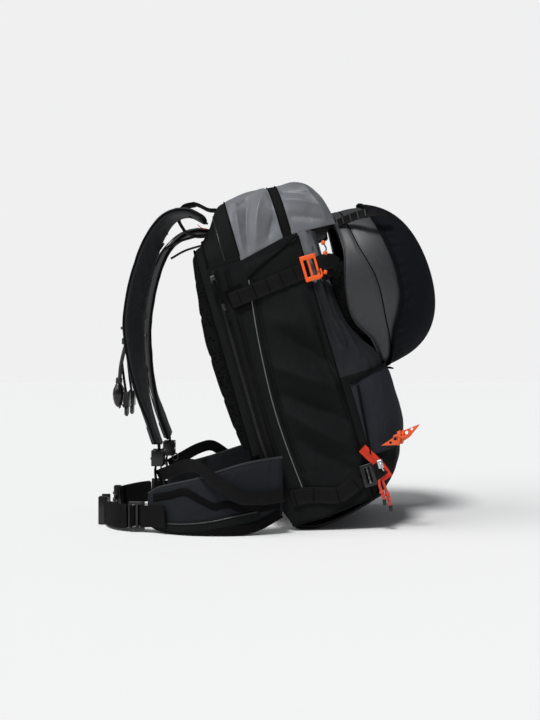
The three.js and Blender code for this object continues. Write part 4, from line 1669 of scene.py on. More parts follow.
@dataclass
class SideStraps(Assembly):
    """The compression straps of each side with their hooks, and the ski loop's free end."""

    finishes: Finishes
    shell: BagShell

    def laid(self, side: Side, name: str, line: Sequence[tuple[float, float]], width: float, proud: float,
             finish: str, stands_for: Sequence[str] = (), thickness: float = 1.8, bump: float = 0.0) -> None:
        """Webbing lying on the side along a line, humped between its bar tacks."""
        dense = flat_route(line)

        def skin(s: float, t: float) -> Vector:
            """Across the strap and along it."""
            at, ahead = dense.at(t), dense.heading(t)
            offset = (s - 0.5) * width
            x, z = at.x + ahead.z * offset, at.z - ahead.x * offset
            away = BAG.side(min(at.x, 116), at.z) + proud + bump * abs(math.sin(math.pi * 5 * t)) ** 0.7
            return BAG.place(x, side.value * away, z)

        piece = cloth_piece(f"{name}_{side.word}", skin, (6, 80), (width, dense.length), HEART, thickness, 0)
        self.settle(piece, "pack", finish, "black_webbing", stands_for)

    def tacks(self, side: Side, name: str, line: Sequence[tuple[float, float]], shares: Sequence[float],
              width: float, proud: float) -> None:
        """Bar tacks: short raised rows of thread across a strap."""
        dense = flat_route(line)
        tack = rounded(block("tack", (1.6, width * 0.86, 0.8), (0, 0, 0)), 0.3, 1)
        places = []
        for share in shares:
            at, ahead = dense.at(share), dense.heading(share)
            centre = BAG.place(at.x, side.value * (BAG.side(min(at.x, 116), at.z) + proud), at.z)
            places.append((centre, BAG.towards(ahead.x, 0, ahead.z), Vector((0, side.value, 0))))
        row = row_of(f"{name}_{side.word}", tack, places)
        self.settle(row, "pack", "binding_cloth", "black_webbing")

    def upper(self, side: Side) -> None:
        """The upper strap: anchored behind, sewn down in daisy loops, to the orange hook and past it."""
        line = [(-12, 376.2), (30, 381), (70, 385.6), (108, 390)]
        self.laid(side, "upper_strap_webbing", line, 25, 3.6, "stitched_webbing", (f"upper_strap_{side.word}",),
                  bump=0.9)
        self.tacks(side, "upper_strap_tacks", line, (0.12, 0.33, 0.52, 0.71, 0.9), 25, 4.9)
        anchor = [(-14, 372), (4, 376), (14, 378)]
        self.laid(side, "upper_anchor_patch", anchor, 42, 1.5, "binding_cloth", thickness=1.0)
        past = [(128, -125.2, 392), (143, -125.8, 394), (158, -118, 392), (165, -112, 384)]
        front = band(f"upper_strap_front_{side.word}", [side.across(p) for p in past], 25, 1.6, 24,
                     lambda t: (0.1, 0, 1), BAG.place)
        self.settle(front, "pack", "stitched_webbing", "black_webbing")
        back = [(158, -113, 383), (146, -121, 378), (133, -125.5, 374)]
        tail = band(f"upper_strap_tail_{side.word}", [side.across(p) for p in back], 20, 1.6, 16,
                    lambda t: (0.1, 0, 1), BAG.place)
        self.settle(tail, "pack", "black_webbing", "black_webbing")

    def lower(self, side: Side) -> None:
        """The lower strap, slack in the middle, to the black hook."""
        line = [(-6, 53.6), (16, 53), (40, 47), (66, 40), (90, 48), (106, 56)]
        self.laid(side, "lower_strap_webbing", line, 25, 3.8, "stitched_webbing", (f"lower_strap_{side.word}",),
                  bump=0.6)
        self.tacks(side, "lower_strap_tacks", line, (0.05, 0.3, 0.62, 0.9), 25, 4.8)
        past = [(122, -134, 56), (136, -134, 60), (150, -131, 66)]
        front = band(f"lower_strap_front_{side.word}", [side.across(p) for p in past], 24, 1.6, 16,
                     lambda t: (-0.1, 0, 1), BAG.place)
        self.settle(front, "pack", "stitched_webbing", "black_webbing")

    def hook(self, side: Side) -> None:
        """The cast orange hook of the upper strap: a frame with two windows and a finger bent over its front bar."""
        hook, y, z = f"upper_hook_{side.word}", 124.8 * side.value, 391.5
        plate = block(f"orange_hook_{side.word}", (25, 4.2, 41), (121.5, y, z), BAG.place)
        pierced(plate, *(block("cut", (wide, 14, 27), (x, y, z), BAG.place) for wide, x in ((6, 116.4), (7, 126.3))))
        rounded(plate, 1.3, 3, 30)
        self.settle(shaded(plate), hook, "orange_metal", "orange_metal", (hook,))
        finger = lace(
            f"hook_finger_{side.word}",
            [(x, -side.value * v, z) for x, v, z in (
                (131, -124.5, 376), (134.6, -125.4, 374), (136.4, -126.6, 378), (136, -127, 386))],
            2.1, 20, 10, BAG.place, lambda t: 1 - 0.35 * t,
        )
        self.settle(finger, hook, "orange_metal", "orange_metal")

    def catch(self, side: Side) -> None:
        """The black lower hook: a plastic ladder frame with a raised lip."""
        hook, centre = f"lower_hook_{side.word}", (119, 134 * side.value, 57)
        plate = block(f"black_catch_{side.word}", (21, 4.6, 35), centre, BAG.place)
        pierced(plate, block("cut", (8, 14, 25), centre, BAG.place))
        rounded(plate, 1.2, 3, 30)
        self.settle(shaded(plate), hook, "glossy_black", "black_plastic", (hook,))
        bar = drum(f"catch_bar_{side.word}", 1.7, 27, (119, 134.6 * side.value, 57), (0, 0, 1), 16, BAG.place)
        pressed(bar, BAG.towards(0, 0, 1), 0.5, -0.4)
        self.settle(shaded(bar), hook, "dark_metal", "black_plastic")

    def keepers(self, side: Side) -> None:
        """Small orange stops of the helmet carrier's cords beside the hook."""
        spots = (((152, -119, 424), 3.0), ((150, -122, 407), 3.4), ((142, -127, 378), 2.8))
        for k, (spot, size) in enumerate(spots):
            x, y, z = side.across(spot)
            stop = drum(f"cord_stop_{k}_{side.word}", size, 5.5, (x, y, z), (0.6, 0.2, 1), 16, BAG.place)
            pressed(stop, BAG.towards(0.6, 0.2, 1), 0.8, 0.7, 0.8)
            self.settle(shaded(rounded(stop, 0.5, 2)), "pack", "orange_plastic", "orange_plastic")
        run = [(152, -118, 424), (154, -120, 414), (150, -121, 407), (144, -124, 396), (142, -126, 378)]
        cord = lace(f"carrier_cord_{side.word}", [side.across(p) for p in run], 1.1, 30, 8, BAG.place)
        self.settle(cord, "pack", "black_braid", "red_cord")

    def built(self) -> None:
        """Makes both sides."""
        for side in Side:
            self.upper(side)
            self.lower(side)
            self.hook(side)
            self.catch(side)
            self.keepers(side)


@dataclass
class BackPanel(Assembly):
    """The door behind the wearer: a foam pad in sewn panels over the frame sheet and its stays."""

    finishes: Finishes
    crest: tuple[tuple[float, float], ...] = ((132, -58), (200, -66), (330, -70), (420, -60), (482, -52))

    def half(self, z: float) -> float:
        """Half the door's width at a height."""
        up = clamp01((z - 400) / 78)
        return 104 * math.sqrt(1 - 0.72 * up * up)

    def pad(self) -> None:
        """The pad: its back swells between a spine channel and cross channels."""
        back = profile(self.crest)
        grooves = (176, 232, 300, 368, 424)

        def skin(s: float, t: float) -> Vector:
            """Across the pad and up it; the outermost columns turn down to the frame sheet."""
            z = mix(134, 476, t)
            side = mix(-1, 1, s)
            rim = ease(min(s, 1 - s) / 0.07) * ease(min(t, 1 - t) / 0.035)
            channel = sum(hump(z, g, 6) for g in grooves) * ease((0.94 - abs(side)) / 0.25)
            puff = 2.4 - 1.9 * min(channel + hump(abs(side), 0.34, 0.06), 1.0)
            spine = -5.0 * hump(side, 0, 0.15)
            depth = back(z) + 6 * abs(side) ** 4 - (puff + spine) + 0.8 * ripple(side * 100, z, 0, 24)
            return BAG.place(mix(-47.5, depth, rim), side * (self.half(z) - 2.0), z)

        piece = laid_grid("back_cushion", skin, 96, 150, (208, 342))
        facing_out(piece, HEART)
        modified(piece, "SOLIDIFY", thickness=1.6 * MM, offset=-1.0)
        softened(piece, 1)
        self.settle(piece, "back_door", "spacer_mesh", "foam_mesh", ("back_pad",))
        low = [(-48.5, -101, 135), (-48.5, 0, 134.4), (-48.5, 101, 135)]
        top = [(-48.5, -self.half(475) + 2, 475.4), (-48.5, 0, 476.4), (-48.5, self.half(475) - 2, 475.4)]
        for side in Side:
            edge = [(-48.5, side.value * (self.half(z) - 1.4), z) for z in np.linspace(136, 474, 24)]
            binding = lace(f"pad_binding_{side.word}", edge, 2.0, 90, 8, BAG.place)
            self.settle(binding, "back_door", "binding_cloth", "foam_mesh")
        self.settle(lace("pad_binding_low", low, 2.0, 50, 8, BAG.place), "back_door", "binding_cloth", "foam_mesh")
        self.settle(lace("pad_binding_top", top, 2.0, 40, 8, BAG.place), "back_door", "binding_cloth", "foam_mesh")

    def slider(self) -> None:
        """The back zip's slider with its long pull on the left."""
        body = block("zip_slider", (8, 5, 12), (-29, -131.6, 415), BAG.place)
        pressed(body, Vector((0, -1, 0)), 1.6, 0.9)
        rounded(body, 0.9, 2)
        shaded(body)
        tab = band("zip_slider_pull", [(-29, -135, 413), (-27, -136, 395), (-24, -135, 372)], 6, 2.0, 20,
                   lambda t: (1, 0, 0), BAG.place)
        self.settle(body, "back_zip", "dark_metal", "black_plastic", ("back_zip_slider",))
        self.settle(tab, "back_zip", "binding_cloth", "black_plastic")
        bead = drum("zip_slider_bead", 3.2, 10, (-24, -135, 369), (0.1, 0, -1), 16, BAG.place)
        pressed(bead, BAG.towards(0.1, 0, -1), 0.9, 0.9, 0.8)
        self.settle(shaded(rounded(bead, 0.5, 2)), "back_zip", "black_plastic", "black_plastic")

    def built(self) -> None:
        """Makes the panel, and dresses the frame's sheet and stays."""
        self.pad()
        self.slider()
        self.finishes.dress(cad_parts["frame_sheet"], "power_case")
        for side in Side:
            self.finishes.dress(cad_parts[f"stay_{side.word}"], "silver_metal")


@dataclass
class Harness(Assembly):
    """Shoulder straps with their webbing, ladder locks, chest strap and airbag handle."""

    finishes: Finishes
    width: float = 62.0
    thickness: float = 11.0
    twist: float = 24.0
    path: tuple[tuple[float, float], ...] = (
        (-106, 492), (-132, 504), (-160, 498), (-186, 466), (-208, 404), (-221, 331), (-217, 266), (-206, 209),
        (-191, 161), (-180, 130),
    )

    def route(self, side: Side) -> Route:
        """The strap's middle line; the right strap's arch hangs a little lower."""
        drop = 16 if side is Side.RIGHT else 0
        points = []
        for i, (x, z) in enumerate(self.path):
            lower = drop * math.sin(math.pi * clamp01(i / 4))
            points.append((x, side.value * (76 - 10 * math.sin(math.pi * i / 9)), z - lower))
        return Route(points)

    def across(self, side: Side) -> Callable[[float], Point]:
        """The direction of the strap's width, its outer edge turned forward."""

        def direction(t: float) -> Point:
            """At a share of the strap."""
            twist = math.radians(self.twist * math.sin(math.pi * clamp01(t * 1.1)))
            return (-math.sin(twist), side.value * math.cos(twist), 0)

        return direction

    def strap(self, side: Side) -> None:
        """One padded strap: a smooth outer face bound round its edge."""
        w, h = self.width / 2, self.thickness / 2
        half = [(-w, 0), (-w + 1.2, h * 0.62), (-w + 4.5, h * 0.8), (-w * 0.66, h), (-w * 0.3, h * 1.04), (0, h),
                (w * 0.3, h * 1.04), (w * 0.66, h), (w - 4.5, h * 0.8), (w - 1.2, h * 0.62), (w, 0)]
        section = half + [(a, -b) for a, b in reversed(half[1:-1])]
        route, across = self.route(side), self.across(side)
        piece = sweep(f"shoulder_pad_{side.word}", route, section, 110, across, as_drawn,
                      lambda t: 1 - 0.06 * (1 - ease(t / 0.05)))
        for vertex in piece.data.vertices:
            co = vertex.co / MM
            vertex.co = (co + Vector((0.7, 0.4, 0.3)) * ripple(co.x, co.y, co.z, 18, 1.5)) * MM
        softened(piece, 1)
        self.settle(piece, f"strap_{side.word}", "strap_cloth", "strap_fabric", (f"shoulder_strap_{side.word}",))
        for edge in (-1, 1):
            line = []
            for k in range(41):
                t = k / 40
                line.append(route.at(t) + route.crossed(t, across)[1] * edge * (w - 0.6))
            name = f"strap_binding_{'inner' if edge * side.value < 0 else 'outer'}_{side.word}"
            self.settle(lace(name, line, 1.9, 120, 8), f"strap_{side.word}", "binding_cloth", "strap_fabric")

    def on_face(self, side: Side, name: str, reach: tuple[float, float], width: float, off: float, shift: float,
                finish: str, thickness: float = 1.6, face: int = 1, bump: float = 0.0) -> Piece:
        """Webbing that lies on a strap's face.

        Args:
            side: the strap's side.
            name: the piece's name.
            reach: from and to, as shares of the strap.
            width: of the webbing.
            off: how far over the strap's face.
            shift: sideways off the middle, in millimetres.
            finish: its finish.
            thickness: of the webbing.
            face: 1 for the outer face, -1 for the wearer's.
            bump: how far it humps between its tacks.

        Returns:
            The webbing.
        """
        route, across = self.route(side), self.across(side)
        line = []
        for k in range(25):
            t = mix(*reach, k / 24)
            heading, wide = route.crossed(t, across)
            out = heading.cross(wide)
            out = out if out.x * face < 0 else -out
            hop = bump * abs(math.sin(math.pi * 3 * k / 24))
            line.append(route.at(t) + wide * shift + out * (self.thickness / 2 + off + hop))
        piece = band(f"{name}_{side.word}", line, width, thickness, 60, lambda t: across(mix(*reach, t)))
        return self.settle(piece, f"strap_{side.word}", finish, "black_webbing")

    def trim(self, side: Side) -> None:
        """The webbing down each strap, its keepers, elastic loop and reflective bar."""
        self.on_face(side, "strap_spine", (0.05, 0.97), 20, 1.0, 0, "stitched_webbing", bump=0.8)
        self.on_face(side, "strap_keeper_high", (0.475, 0.50), 40, 2.2, 0, "binding_cloth", 2.2)
        self.on_face(side, "strap_keeper_low", (0.70, 0.72), 34, 2.2, 0, "binding_cloth", 2.2)
        self.on_face(side, "strap_light_bar", (0.565, 0.574), 56, 1.6, 0, "pale_piping", 1.4)
        self.on_face(side, "strap_end_patch", (0.93, 0.995), 34, 1.4, 0, "binding_cloth", 1.6)
        loop = [(-168, -48, 474), (-184, -47, 466), (-190, -47, 452), (-183, -48, 447), (-174, -50, 458)]
        if side is Side.LEFT:
            elastic = lace("elastic_loop", loop, 1.5, 40, 8)
            self.settle(elastic, "strap_left", "black_braid", "black_webbing")

    def webbing(self, side: Side) -> None:
        """The load lifter above and the adjusting webbing below, which join the strap to the bag."""
        lifter = [(-175, -58, 445), (-150, -58, 459), (-114, -58, 470)]
        piece = band(f"load_lifter_webbing_{side.word}", [side.across(p) for p in lifter], 15, 1.8, 36)
        self.finishes.dress(piece, "narrow_webbing", "black_webbing")
        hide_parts(f"load_lifter_{side.word}")
        f"strap_{side.word}"
        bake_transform(piece)
        route = [(-180, -78, 79), (-162, -104, 88), (-130, -140, 103), (-108, -168, 104), (-80, -182, 84),
                 (-46, -184, 64), (-10, -174, 58), (20, -160, 60)]
        piece = band(f"lower_strap_webbing_{side.word}_back", [side.across(p) for p in route], 20, 1.8, 80,
                     lambda t: (0, (-0.5 + t) * -side.value, 1))
        self.finishes.dress(piece, "black_webbing", "black_webbing")
        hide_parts(f"lower_webbing_{side.word}")
        f"strap_{side.word}"
        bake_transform(piece)
        log.info("webbing of the %s strap is blended", side.word)

    def lock(self, side: Side) -> None:
        """The ladder lock under the strap, with a cross bar, the webbing through it and its hanging tail."""
        body, y = f"lock_{side.word}", side.value * 78
        lock = block(f"ladder_lock_{side.word}_body", (20, 28, 26), (-180, y, 109))
        pierced(lock, block("cut", (40, 21, 7), (-180, y, 114)), block("cut", (40, 21, 6), (-180, y, 103)))
        rounded(lock, 1.6, 3, 30)
        self.settle(shaded(lock), body, "glossy_black", "black_plastic", (f"ladder_lock_{side.word}",))
        bar = drum(f"lock_bar_{side.word}", 1.9, 27, (-180, y, 106), (0, 1, 0), 14)
        pressed(bar, Vector((0, 1, 0)), 0.5, -0.4)
        self.settle(shaded(bar), body, "dark_metal", "black_plastic")
        tail = [(-183, -78, 114), (-191.5, -78, 108), (-183, -78, 102), (-185, -78, 90), (-184, -77, 74),
                (-182, -76, 58)]
        hanging = band(f"lock_tail_{side.word}", [side.across(p) for p in tail], 20, 1.6, 24)
        self.settle(hanging, body, "black_webbing", "black_webbing")
        stub = [(-180, -74, 132), (-179, -76, 124), (-180, -77, 117)]
        sewn = band(f"lock_stub_{side.word}", [side.across(p) for p in stub], 20, 2.4, 16)
        self.settle(sewn, f"strap_{side.word}", "stitched_webbing", "black_webbing")
        turns = np.linspace(0, 2 * math.pi, 17)
        ring = [(-170 + 5.5 * math.sin(a), side.value * 80, 93 + 6 * math.cos(a)) for a in turns]
        self.settle(lace(f"lock_ring_{side.word}", ring, 1.3, 32, 8), body, "dark_metal", "black_plastic")

    def chest(self, side: Side) -> None:
        """Half of the chest strap, hanging from its strap, with half of its buckle."""
        body = f"chest_{side.word}"
        route = [(-238, -36, 300), (-246, -32, 270), (-244, -30, 240), (-240, -29, 212)]
        webbing = band(f"chest_webbing_{side.word}", [side.across(p) for p in route], 15, 1.8, 40)
        self.settle(webbing, body, "narrow_webbing", "black_webbing", (f"chest_strap_{side.word}",))
        y = 29 * side.value
        case = block(f"chest_buckle_{side.word}", (9.5, 23, 26), (-239, y, 200))
        pressed(case, Vector((-1, 0, 0)), 3.2, -1.0)
        pressed(case, Vector((0, side.value, 0)), 2.0, -1.2)
        rounded(case, 1.4, 2, 30)
        self.settle(shaded(case), body, "glossy_black", "black_plastic")
        for k, (shift, wide, height) in enumerate(((-8, 4.0, 183), (0, 5.5, 181), (8, 4.0, 183))):
            prong = block(f"chest_prong_{k}_{side.word}", (5.0, wide, 14), (-239, y + shift, height))
            pressed(prong, Vector((0, 0, -1)), 0.8, 1.6)
            self.settle(shaded(rounded(prong, 0.8, 2)), body, "glossy_black", "black_plastic")
        slide = block(f"chest_slider_{side.word}", (7, 26, 11), (-240, side.value * 34, 297))
        pressed(slide, Vector((-1, 0, 0)), 2.4, 1.0)
        self.settle(shaded(rounded(slide, 1.2, 2)), body, "black_plastic", "black_plastic")
        tail = [(-242, side.value * 30, 214), (-249, side.value * 27, 204), (-251, side.value * 25, 186)]
        self.settle(band(f"chest_tail_{side.word}", tail, 14, 1.4, 20), body, "narrow_webbing", "black_webbing")

    def trigger(self) -> None:
        """The airbag handle: a grooved teardrop on its covered cable, tucked under the left strap's outer edge."""
        bpy.ops.object.select_all(action="DESELECT")
        bpy.ops.mesh.primitive_uv_sphere_add(segments=36, ring_count=24, radius=1.0)
        grip = named("airbag_handle")
        for vertex in grip.data.vertices:
            x, y, z = vertex.co
            slim = 1 - 0.32 * ease((z - 0.1) / 0.9)
            groove = 1 - 0.05 * abs(math.sin(9 * z)) * ease((1 - abs(z)) * 4)
            vertex.co = as_drawn(-241 + 9 * x * slim * groove, -98 + 11 * y * slim * groove, 212 + 21 * z)
        self.settle(shaded(grip), "trigger", "glossy_black", "black_plastic", ("trigger_handle",))
        collar = drum("handle_collar", 5.2, 8, (-240, -98, 233), (0.1, 0, 1), 20)
        pressed(collar, Vector((0, 0, 1)), 1.2, 1.2, 0.8)
        self.settle(shaded(rounded(collar, 0.7, 2)), "trigger", "black_plastic", "black_plastic")
        sleeve = [(-239, -98, 236), (-237, -97, 258), (-232, -94, 282), (-226, -90, 300)]
        self.settle(lace("handle_cable_sleeve", sleeve, 3.0, 40, 10), "trigger", "black_braid", "black_webbing")
        loop = [(-238, -101, 232), (-230, -103, 216), (-228, -101, 200), (-232, -98, 192), (-236, -97, 196)]
        self.settle(lace("handle_keeper_cord", loop, 1.1, 40, 8), "trigger", "black_braid", "black_webbing")

    def built(self) -> None:
        """Makes both straps and what they carry."""
        for side in Side:
            self.strap(side)
            self.trim(side)
            self.webbing(side)
            self.lock(side)
            self.chest(side)
        self.trigger()


@dataclass
class HipBelt(Assembly):
    """The padded wings, their zip pockets, adjusters, webbing and buckle."""

    finishes: Finishes
    outer: tuple[tuple[float, float], ...] = ((0, 150), (70, 168), (140, 166), (210, 138))
    top: tuple[tuple[float, float], ...] = ((0, 117), (60, 108), (130, 86), (190, 70), (210, 58))
    bottom: tuple[tuple[float, float], ...] = ((0, 24), (35, 6), (60, 0), (110, 0), (170, 0), (195, 3), (210, 12))

    def point(self, side: Side, along: float, z: float, proud: float) -> Vector:
        """A point over a wing's outer face: along it from its root, at a height, proud of it; in metres."""
        return as_drawn(20 - along, side.value * (profile(self.outer)(along) + proud), z)

    def wing(self, side: Side) -> None:
        """The wing: a padded blade whose faces swell between bound edges."""
        outer, top, bottom = profile(self.outer), profile(self.top), profile(self.bottom)

        def skin(s: float, t: float) -> Vector:
            """Round the wing's section from its lower edge, up outside and down inside, and along it."""
            along = t * 210
            low, high = max(bottom(along), 0.0), top(along)
            turn = 2 * s if s <= 0.5 else 2 - 2 * s
            z = mix(low + 0.3, high, turn)
            full = math.sin(math.pi * turn) ** 0.42
            ends = ease(min(t, 1 - t) / 0.03)
            out = 0.0 if s <= 0.5 else -13.0
            middle = -6.5
            depth = middle + (out - middle) * full * (0.35 + 0.65 * ends)
            lift = (0.9 * ripple(along, z, 0, 24, 1.0 + side.value) + 0.5 * ripple(along, z * 2, 9, 11)) * full
            return as_drawn(20 - along, side.value * (outer(along) + depth + (lift if s <= 0.5 else -lift)), z)

        piece = softened(sealed(laid_grid(f"wing_cushion_{side.word}", skin, 48, 90, (200, 215))))
        self.settle(piece, f"wing_{side.word}", "wing_cloth", "wing_fabric", (f"hip_wing_{side.word}",))

    def overlay(self, side: Side, name: str, low: Callable[[float], float], high: Callable[[float], float],
                reach: tuple[float, float], proud: float, finish: str, puff: float = 0.0) -> None:
        """A panel sewn on the wing's outer face between two heights."""

        def skin(s: float, t: float) -> Vector:
            """Along the wing and up the panel."""
            along = mix(*reach, s)
            z = mix(low(along), high(along), t)
            edge = ease(min(s, 1 - s) / 0.03) * math.sin(math.pi * t) ** 0.5
            return self.point(side, along, z, proud + puff * edge + 0.4 * ripple(along, z, 3, 16))

        middle = self.point(side, 100, 40, -30)
        piece = cloth_piece(f"{name}_{side.word}", skin, (70, 10), (reach[1] - reach[0], 24), middle, 1.0, 0)
        self.settle(piece, f"wing_{side.word}", finish, "wing_fabric")

    def edging(self, side: Side, name: str, height: Callable[[float], float], reach: tuple[float, float],
               proud: float, radius: float, finish: str) -> None:
        """A cord along the wing at a height."""
        line = []
        for k in range(31):
            along = mix(*reach, k / 30)
            line.append(self.point(side, along, height(along), proud) / MM)
        self.settle(lace(f"{name}_{side.word}", line, radius, 100, 8), f"wing_{side.word}", finish, "wing_fabric")

    def dressings(self, side: Side) -> None:
        """The wavy dark band, the zip pocket below it and the bindings."""
        top, bottom = profile(self.top), profile(self.bottom)
        wave = profile([(0, 52), (24, 48), (60, 46), (84, 54), (104, 51), (124, 60), (150, 72), (172, 66), (200, 60)])
        self.overlay(side, "wing_wave", lambda a: wave(a) - 12, wave, (4, 200), 0.5, "binding_cloth", 1.2)
        self.overlay(side, "wing_foot", lambda a: bottom(a) + 2, lambda a: min(bottom(a) + 17, wave(a) - 14),
                     (4, 204), 0.6, "binding_cloth", 0.6)
        pocket = profile([(0, 46), (60, 36), (120, 24), (180, 20), (206, 24)])
        self.overlay(side, "wing_zip_garage", lambda a: max(pocket(a) - 17, bottom(a) + 2), pocket, (34, 196), 0.4,
                     "charcoal_cloth", 1.4)
        self.edging(side, "wing_zip_coil", lambda a: pocket(a) - 3.5, (40, 192), 1.9, 1.1, "zip_coil")
        self.edging(side, "wing_top_binding", lambda a: top(a) - 0.4, (1, 208), -6.5, 2.3, "strap_cloth")
        self.edging(side, "wing_low_binding", lambda a: max(bottom(a), 0) + 2.4, (1, 208), -6.5, 2.3, "binding_cloth")

    def adjuster(self, side: Side) -> None:
        """The belt's ladder frame with its bars."""
        body, y = f"wing_{side.word}", 134 * side.value
        plate = block(f"belt_frame_{side.word}", (25, 6, 44), (-206.5, y, 25))
        pierced(plate, *(block("cut", (6, 16, 34), (x, y, 25)) for x in (-211, -201)))
        rounded(plate, 1.5, 3, 30)
        self.settle(shaded(plate), body, "glossy_black", "black_plastic", (f"belt_adjuster_{side.word}",))
        doubled = [(-202, y - side.value * 1.0, 25), (-196, y + side.value * 5.5, 25), (-180, 145 * side.value, 26),
                   (-160, 158 * side.value, 28)]
        woven = [(-196, y + side.value * 4.6, 25), (-201, y, 25), (-206, y - side.value * 4.4, 25), (-211, y, 25),
                 (-217, y + side.value * 3.5, 25)]
        through = band(f"belt_through_{side.word}", woven, 33, 1.8, 40, lambda t: (0, 0, 1))
        self.settle(through, body, "wide_webbing", "black_webbing")
        patch = band(f"belt_anchor_{side.word}", doubled, 34, 2.0, 24, lambda t: (0, 0, 1))
        self.settle(patch, body, "wide_webbing", "black_webbing")

    def belt(self, side: Side) -> None:
        """The belt's webbing, doubled back on itself."""
        route = [(-222, -133, 24), (-240, -121, 23), (-256, -101, 22), (-266, -78, 22)]
        piece = band(f"belt_band_{side.word}", [side.across(p) for p in route], 38, 2.2, 50, lambda t: (0, 0, 1))
        self.settle(piece, f"belt_{side.word}", "wide_webbing", "black_webbing", (f"belt_webbing_{side.word}",))
        back = [(-219, -130, 24), (-236, -117, 23), (-250, -99, 23), (-257, -84, 22)]
        inner = band(f"belt_return_{side.word}", [side.across(p) for p in back], 36, 1.8, 40, lambda t: (0, 0, 1))
        self.settle(inner, f"belt_{side.word}", "wide_webbing", "black_webbing")

    def buckle(self) -> None:
        """The side-release buckle: its socket on the left half and its tongue on the right."""
        socket = block("buckle_socket", (14, 36, 44), (-271, -56, 22.5))
        pressed(socket, Vector((-1, 0, 0)), 5.0, -1.2)
        pressed(socket, Vector((1, 0, 0)), 5.0, -1.0)
        pierced(socket, block("cut", (8, 26, 34), (-271, -50, 22.5)), block("cut", (20, 16, 5), (-271, -52, 42)),
                block("cut", (20, 16, 5), (-271, -52, 3)))
        rounded(socket, 1.3, 2, 35)
        self.settle(shaded(socket), "belt_left", "glossy_black", "black_plastic", ("belt_buckle_left",))
        tongue = block("buckle_tongue", (12, 14, 42), (-271, 67, 22.5))
        pressed(tongue, Vector((-1, 0, 0)), 2.5, -1.0)
        rounded(tongue, 1.4, 2)
        self.settle(shaded(tongue), "belt_right", "glossy_black", "black_plastic", ("belt_buckle_right",))
        for k, (z, wide) in enumerate(((10.5, 4.0), (22.5, 7.0), (34.5, 4.0))):
            prong = block(f"buckle_prong_{k}", (6, 26, wide), (-271, 49, z))
            pressed(prong, Vector((0, -1, 0)), 0.9, 2.0)
            self.settle(shaded(rounded(prong, 1.0, 2)), "belt_right", "glossy_black", "black_plastic")

    def built(self) -> None:
        """Makes both halves and the buckle."""
        for side in Side:
            self.wing(side)
            self.dressings(side)
            self.adjuster(side)
            self.belt(side)
        self.buckle()


@dataclass(frozen=True)
class HelmetForm:
    """The carried helmet: its own frame has x out through the crown and z towards its front edge."""

    x: float = 151.7
    z: float = 388.3
    tilt: float = 20.0
    crown: float = 117.0
    half_length: float = 134.0
    half_width: float = 105.0

    def place(self, x: float, y: float, z: float) -> Vector:
        """A point of the helmet's frame, in metres in the row frame."""
        c, s = math.cos(math.radians(self.tilt)), math.sin(math.radians(self.tilt))
        return Vector((self.x + x * c - z * s, y, self.z + x * s + z * c)) * MM

    def dome(self, rise: float, around: float, proud: float) -> tuple[float, float, float]:
        """A point of the dome in degrees: its rise from the rim to the crown, and the way round it."""
        a, r = math.radians(rise), math.radians(around)
        blunt = 1 + 0.06 * math.sin(2 * a) ** 2
        c, s = max(math.cos(a), 0.0) * blunt, math.sin(a) * blunt
        return (
            s * (self.crown + proud), math.sin(r) * c * (self.half_width + proud),
            math.cos(r) * c * (self.half_length + proud),
        )


HELMET = HelmetForm()
SHELL_RIM = profile([(0, -5), (60, -6), (90, -16), (112, -18), (132, -9), (180, -6)])
SHELL_SEAM = profile([(0, 5), (60, 5), (90, 9), (120, 6), (180, 3)])
COVER_HEM = profile([(0, 22), (75, 27), (104, 24), (115, 19), (133, 9), (180, 0)])


def folded(around: float) -> float:
    """The way round the helmet counted from its front, the same on both sides."""
    return abs((around + 180) % 360 - 180)


